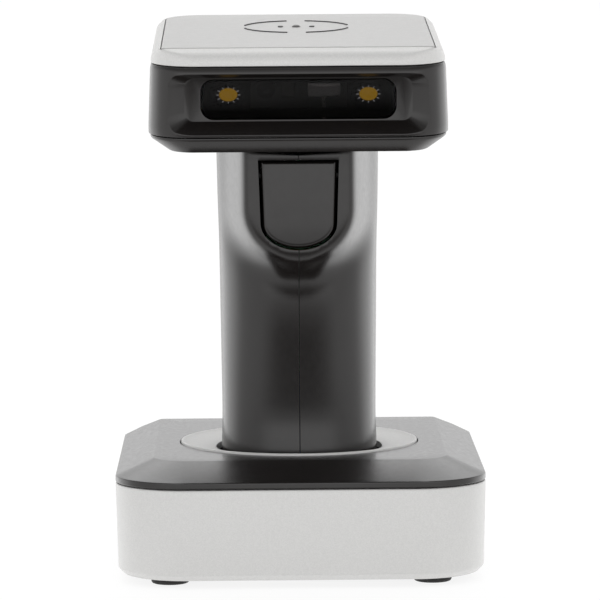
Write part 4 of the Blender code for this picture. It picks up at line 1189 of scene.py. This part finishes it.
# ---- carried-over solids
KEPT = {
    "circuit_board": (
        "base_board", "handle_board", "main_board", "lamp_board_left", "lamp_board_right",
    ),
    "steel": ("ballast_left", "ballast_right", "mirror_post", "trigger_spring"),
    "blackened_steel": ("laser_module", "trigger_pin"),
    "grey_plastic": (
        "beeper", "contact_block", "engine_chassis", "light_detector", "switch_body",
    ),
    "black_plastic": ("socket_well",),
    "battery_wrap": ("battery_cell",),
    "gold_contact": ("mirror_drive_coil",),
    "amber_lens": ("switch_plunger",),
    # painted highlight: the pale neck gasket stands for the highlight in the gap under the head
    "pale_seal": ("neck_gasket", "ribbon_cable"),
}


def dress_kept():
    for slot, names in KEPT.items():
        for name in names:
            for place in frame["nodes"][name].material_slots:
                place.material = MATERIAL[slot]


# ---- surroundings
def make_surroundings():
    half = 12.0
    corners = ((-half, -half), (half, -half), (half, half), (-half, half))
    mesh = bpy.data.meshes.new("floor")
    mesh.from_pydata(level(corners, 0.0), [], [(0, 1, 2, 3)])
    floor = placed("floor", mesh)
    paper = Nodes("white_paper", (0.18, 0.18, 0.18), 1.0)
    paper.give("Specular IOR Level", 0.0)
    paper.glow((1, 1, 1), 0.86)
    floor.data.materials.append(paper.material)
    floor.visible_glossy = False

    world = bpy.data.worlds.new("studio")
    bpy.context.scene.world = world
    world.use_nodes = True
    nodes, links = world.node_tree.nodes, world.node_tree.links
    background = nodes["Background"]
    direction = nodes.new("ShaderNodeTexCoord").outputs["Generated"]
    split = nodes.new("ShaderNodeSeparateXYZ")
    links.new(direction, split.inputs["Vector"])
    x, y, z = (split.outputs[axis] for axis in "XYZ")

    def ramp(source, low, high, at_low, at_high):
        node = mapped(world.node_tree, source, (low, high), (at_low, at_high))
        node.interpolation_type = "SMOOTHSTEP"
        return node.outputs["Result"]

    def joined(operation, *sources):
        node = nodes.new("ShaderNodeMath")
        node.operation = operation
        for socket, source in zip(node.inputs, sources):
            links.new(source, socket)
        return node.outputs[0]

    # A white studio with a bright band high behind the product. Towards the camera it is
    # brightest at the level of the lens and dark below the table.
    front = ramp(y, -0.9, -0.45, 1.0, 0.0)
    low = ramp(z, -0.42, -0.035, 0.12, 1.75)
    front_level = joined("MULTIPLY", low, ramp(z, 0.15, 0.5, 1.0, 0.45))
    rise = ramp(z, 0.3, 0.6, 0.0, 1.8)
    fall = ramp(z, 0.8, 0.97, 1.0, 0.0)
    behind = ramp(y, 0.1, 0.5, 0.0, 1.0)
    away = joined("ABSOLUTE", x)
    middle = ramp(away, 0.2, 0.5, 1.0, 0.0)
    band = joined("MULTIPLY", joined("MULTIPLY", rise, fall), joined("MULTIPLY", behind, middle))
    flank = joined("MULTIPLY", ramp(away, 0.28, 0.44, 0.0, 0.7), behind)
    flank = joined("MULTIPLY", flank, ramp(z, 0.15, 0.4, 1.0, 0.0))
    dome = ramp(z, 0.35, 0.75, 1.15, 0.45)
    wall_level = joined("ADD", dome, joined("ADD", band, flank))
    mix = nodes.new("ShaderNodeMix")
    links.new(front, mix.inputs["Factor"])
    links.new(wall_level, mix.inputs["A"])
    links.new(front_level, mix.inputs["B"])
    links.new(mix.outputs["Result"], background.inputs["Strength"])
    background.inputs["Color"].default_value = (1, 1, 1, 1)

    lamp = bpy.data.lights.new("overhead_softbox", "AREA")
    lamp.shape = "RECTANGLE"
    lamp.size, lamp.size_y = 0.56, 0.5
    lamp.energy = 1.4
    box_light = placed("overhead_softbox", lamp)
    box_light.location = (0.0, 0.17, 1.2)
    box_light.rotation_euler = (math.radians(-8.0), 0.0, 0.0)

    bpy.context.scene.view_settings.view_transform = "Standard"


make_base_shell()
make_bottom_plate()
make_feet()
make_screws("base_screw", level(four_places(BASE_SCREW_X, BASE_SCREW_Y), 2.3), 2.6, 0.9)
make_base_cover()
make_docking_ring()
make_contacts()
make_cable_socket()
make_handle_shells()
make_screws("handle_screw", handle_screw_spots(), 2.5, 1.3, 20.0, "X")
make_end_cap()
make_trigger()
make_head_lower_shell()
make_screws("head_screw", level(HEAD_SCREWS, HEAD_FLOOR + 0.8), 2.6, 0.8, head=True)
make_head_body()
make_top_cover()
make_top_panel()
make_status_light()
make_window()
make_lamps()
make_scan_mirror()
dress_kept()
make_surroundings()
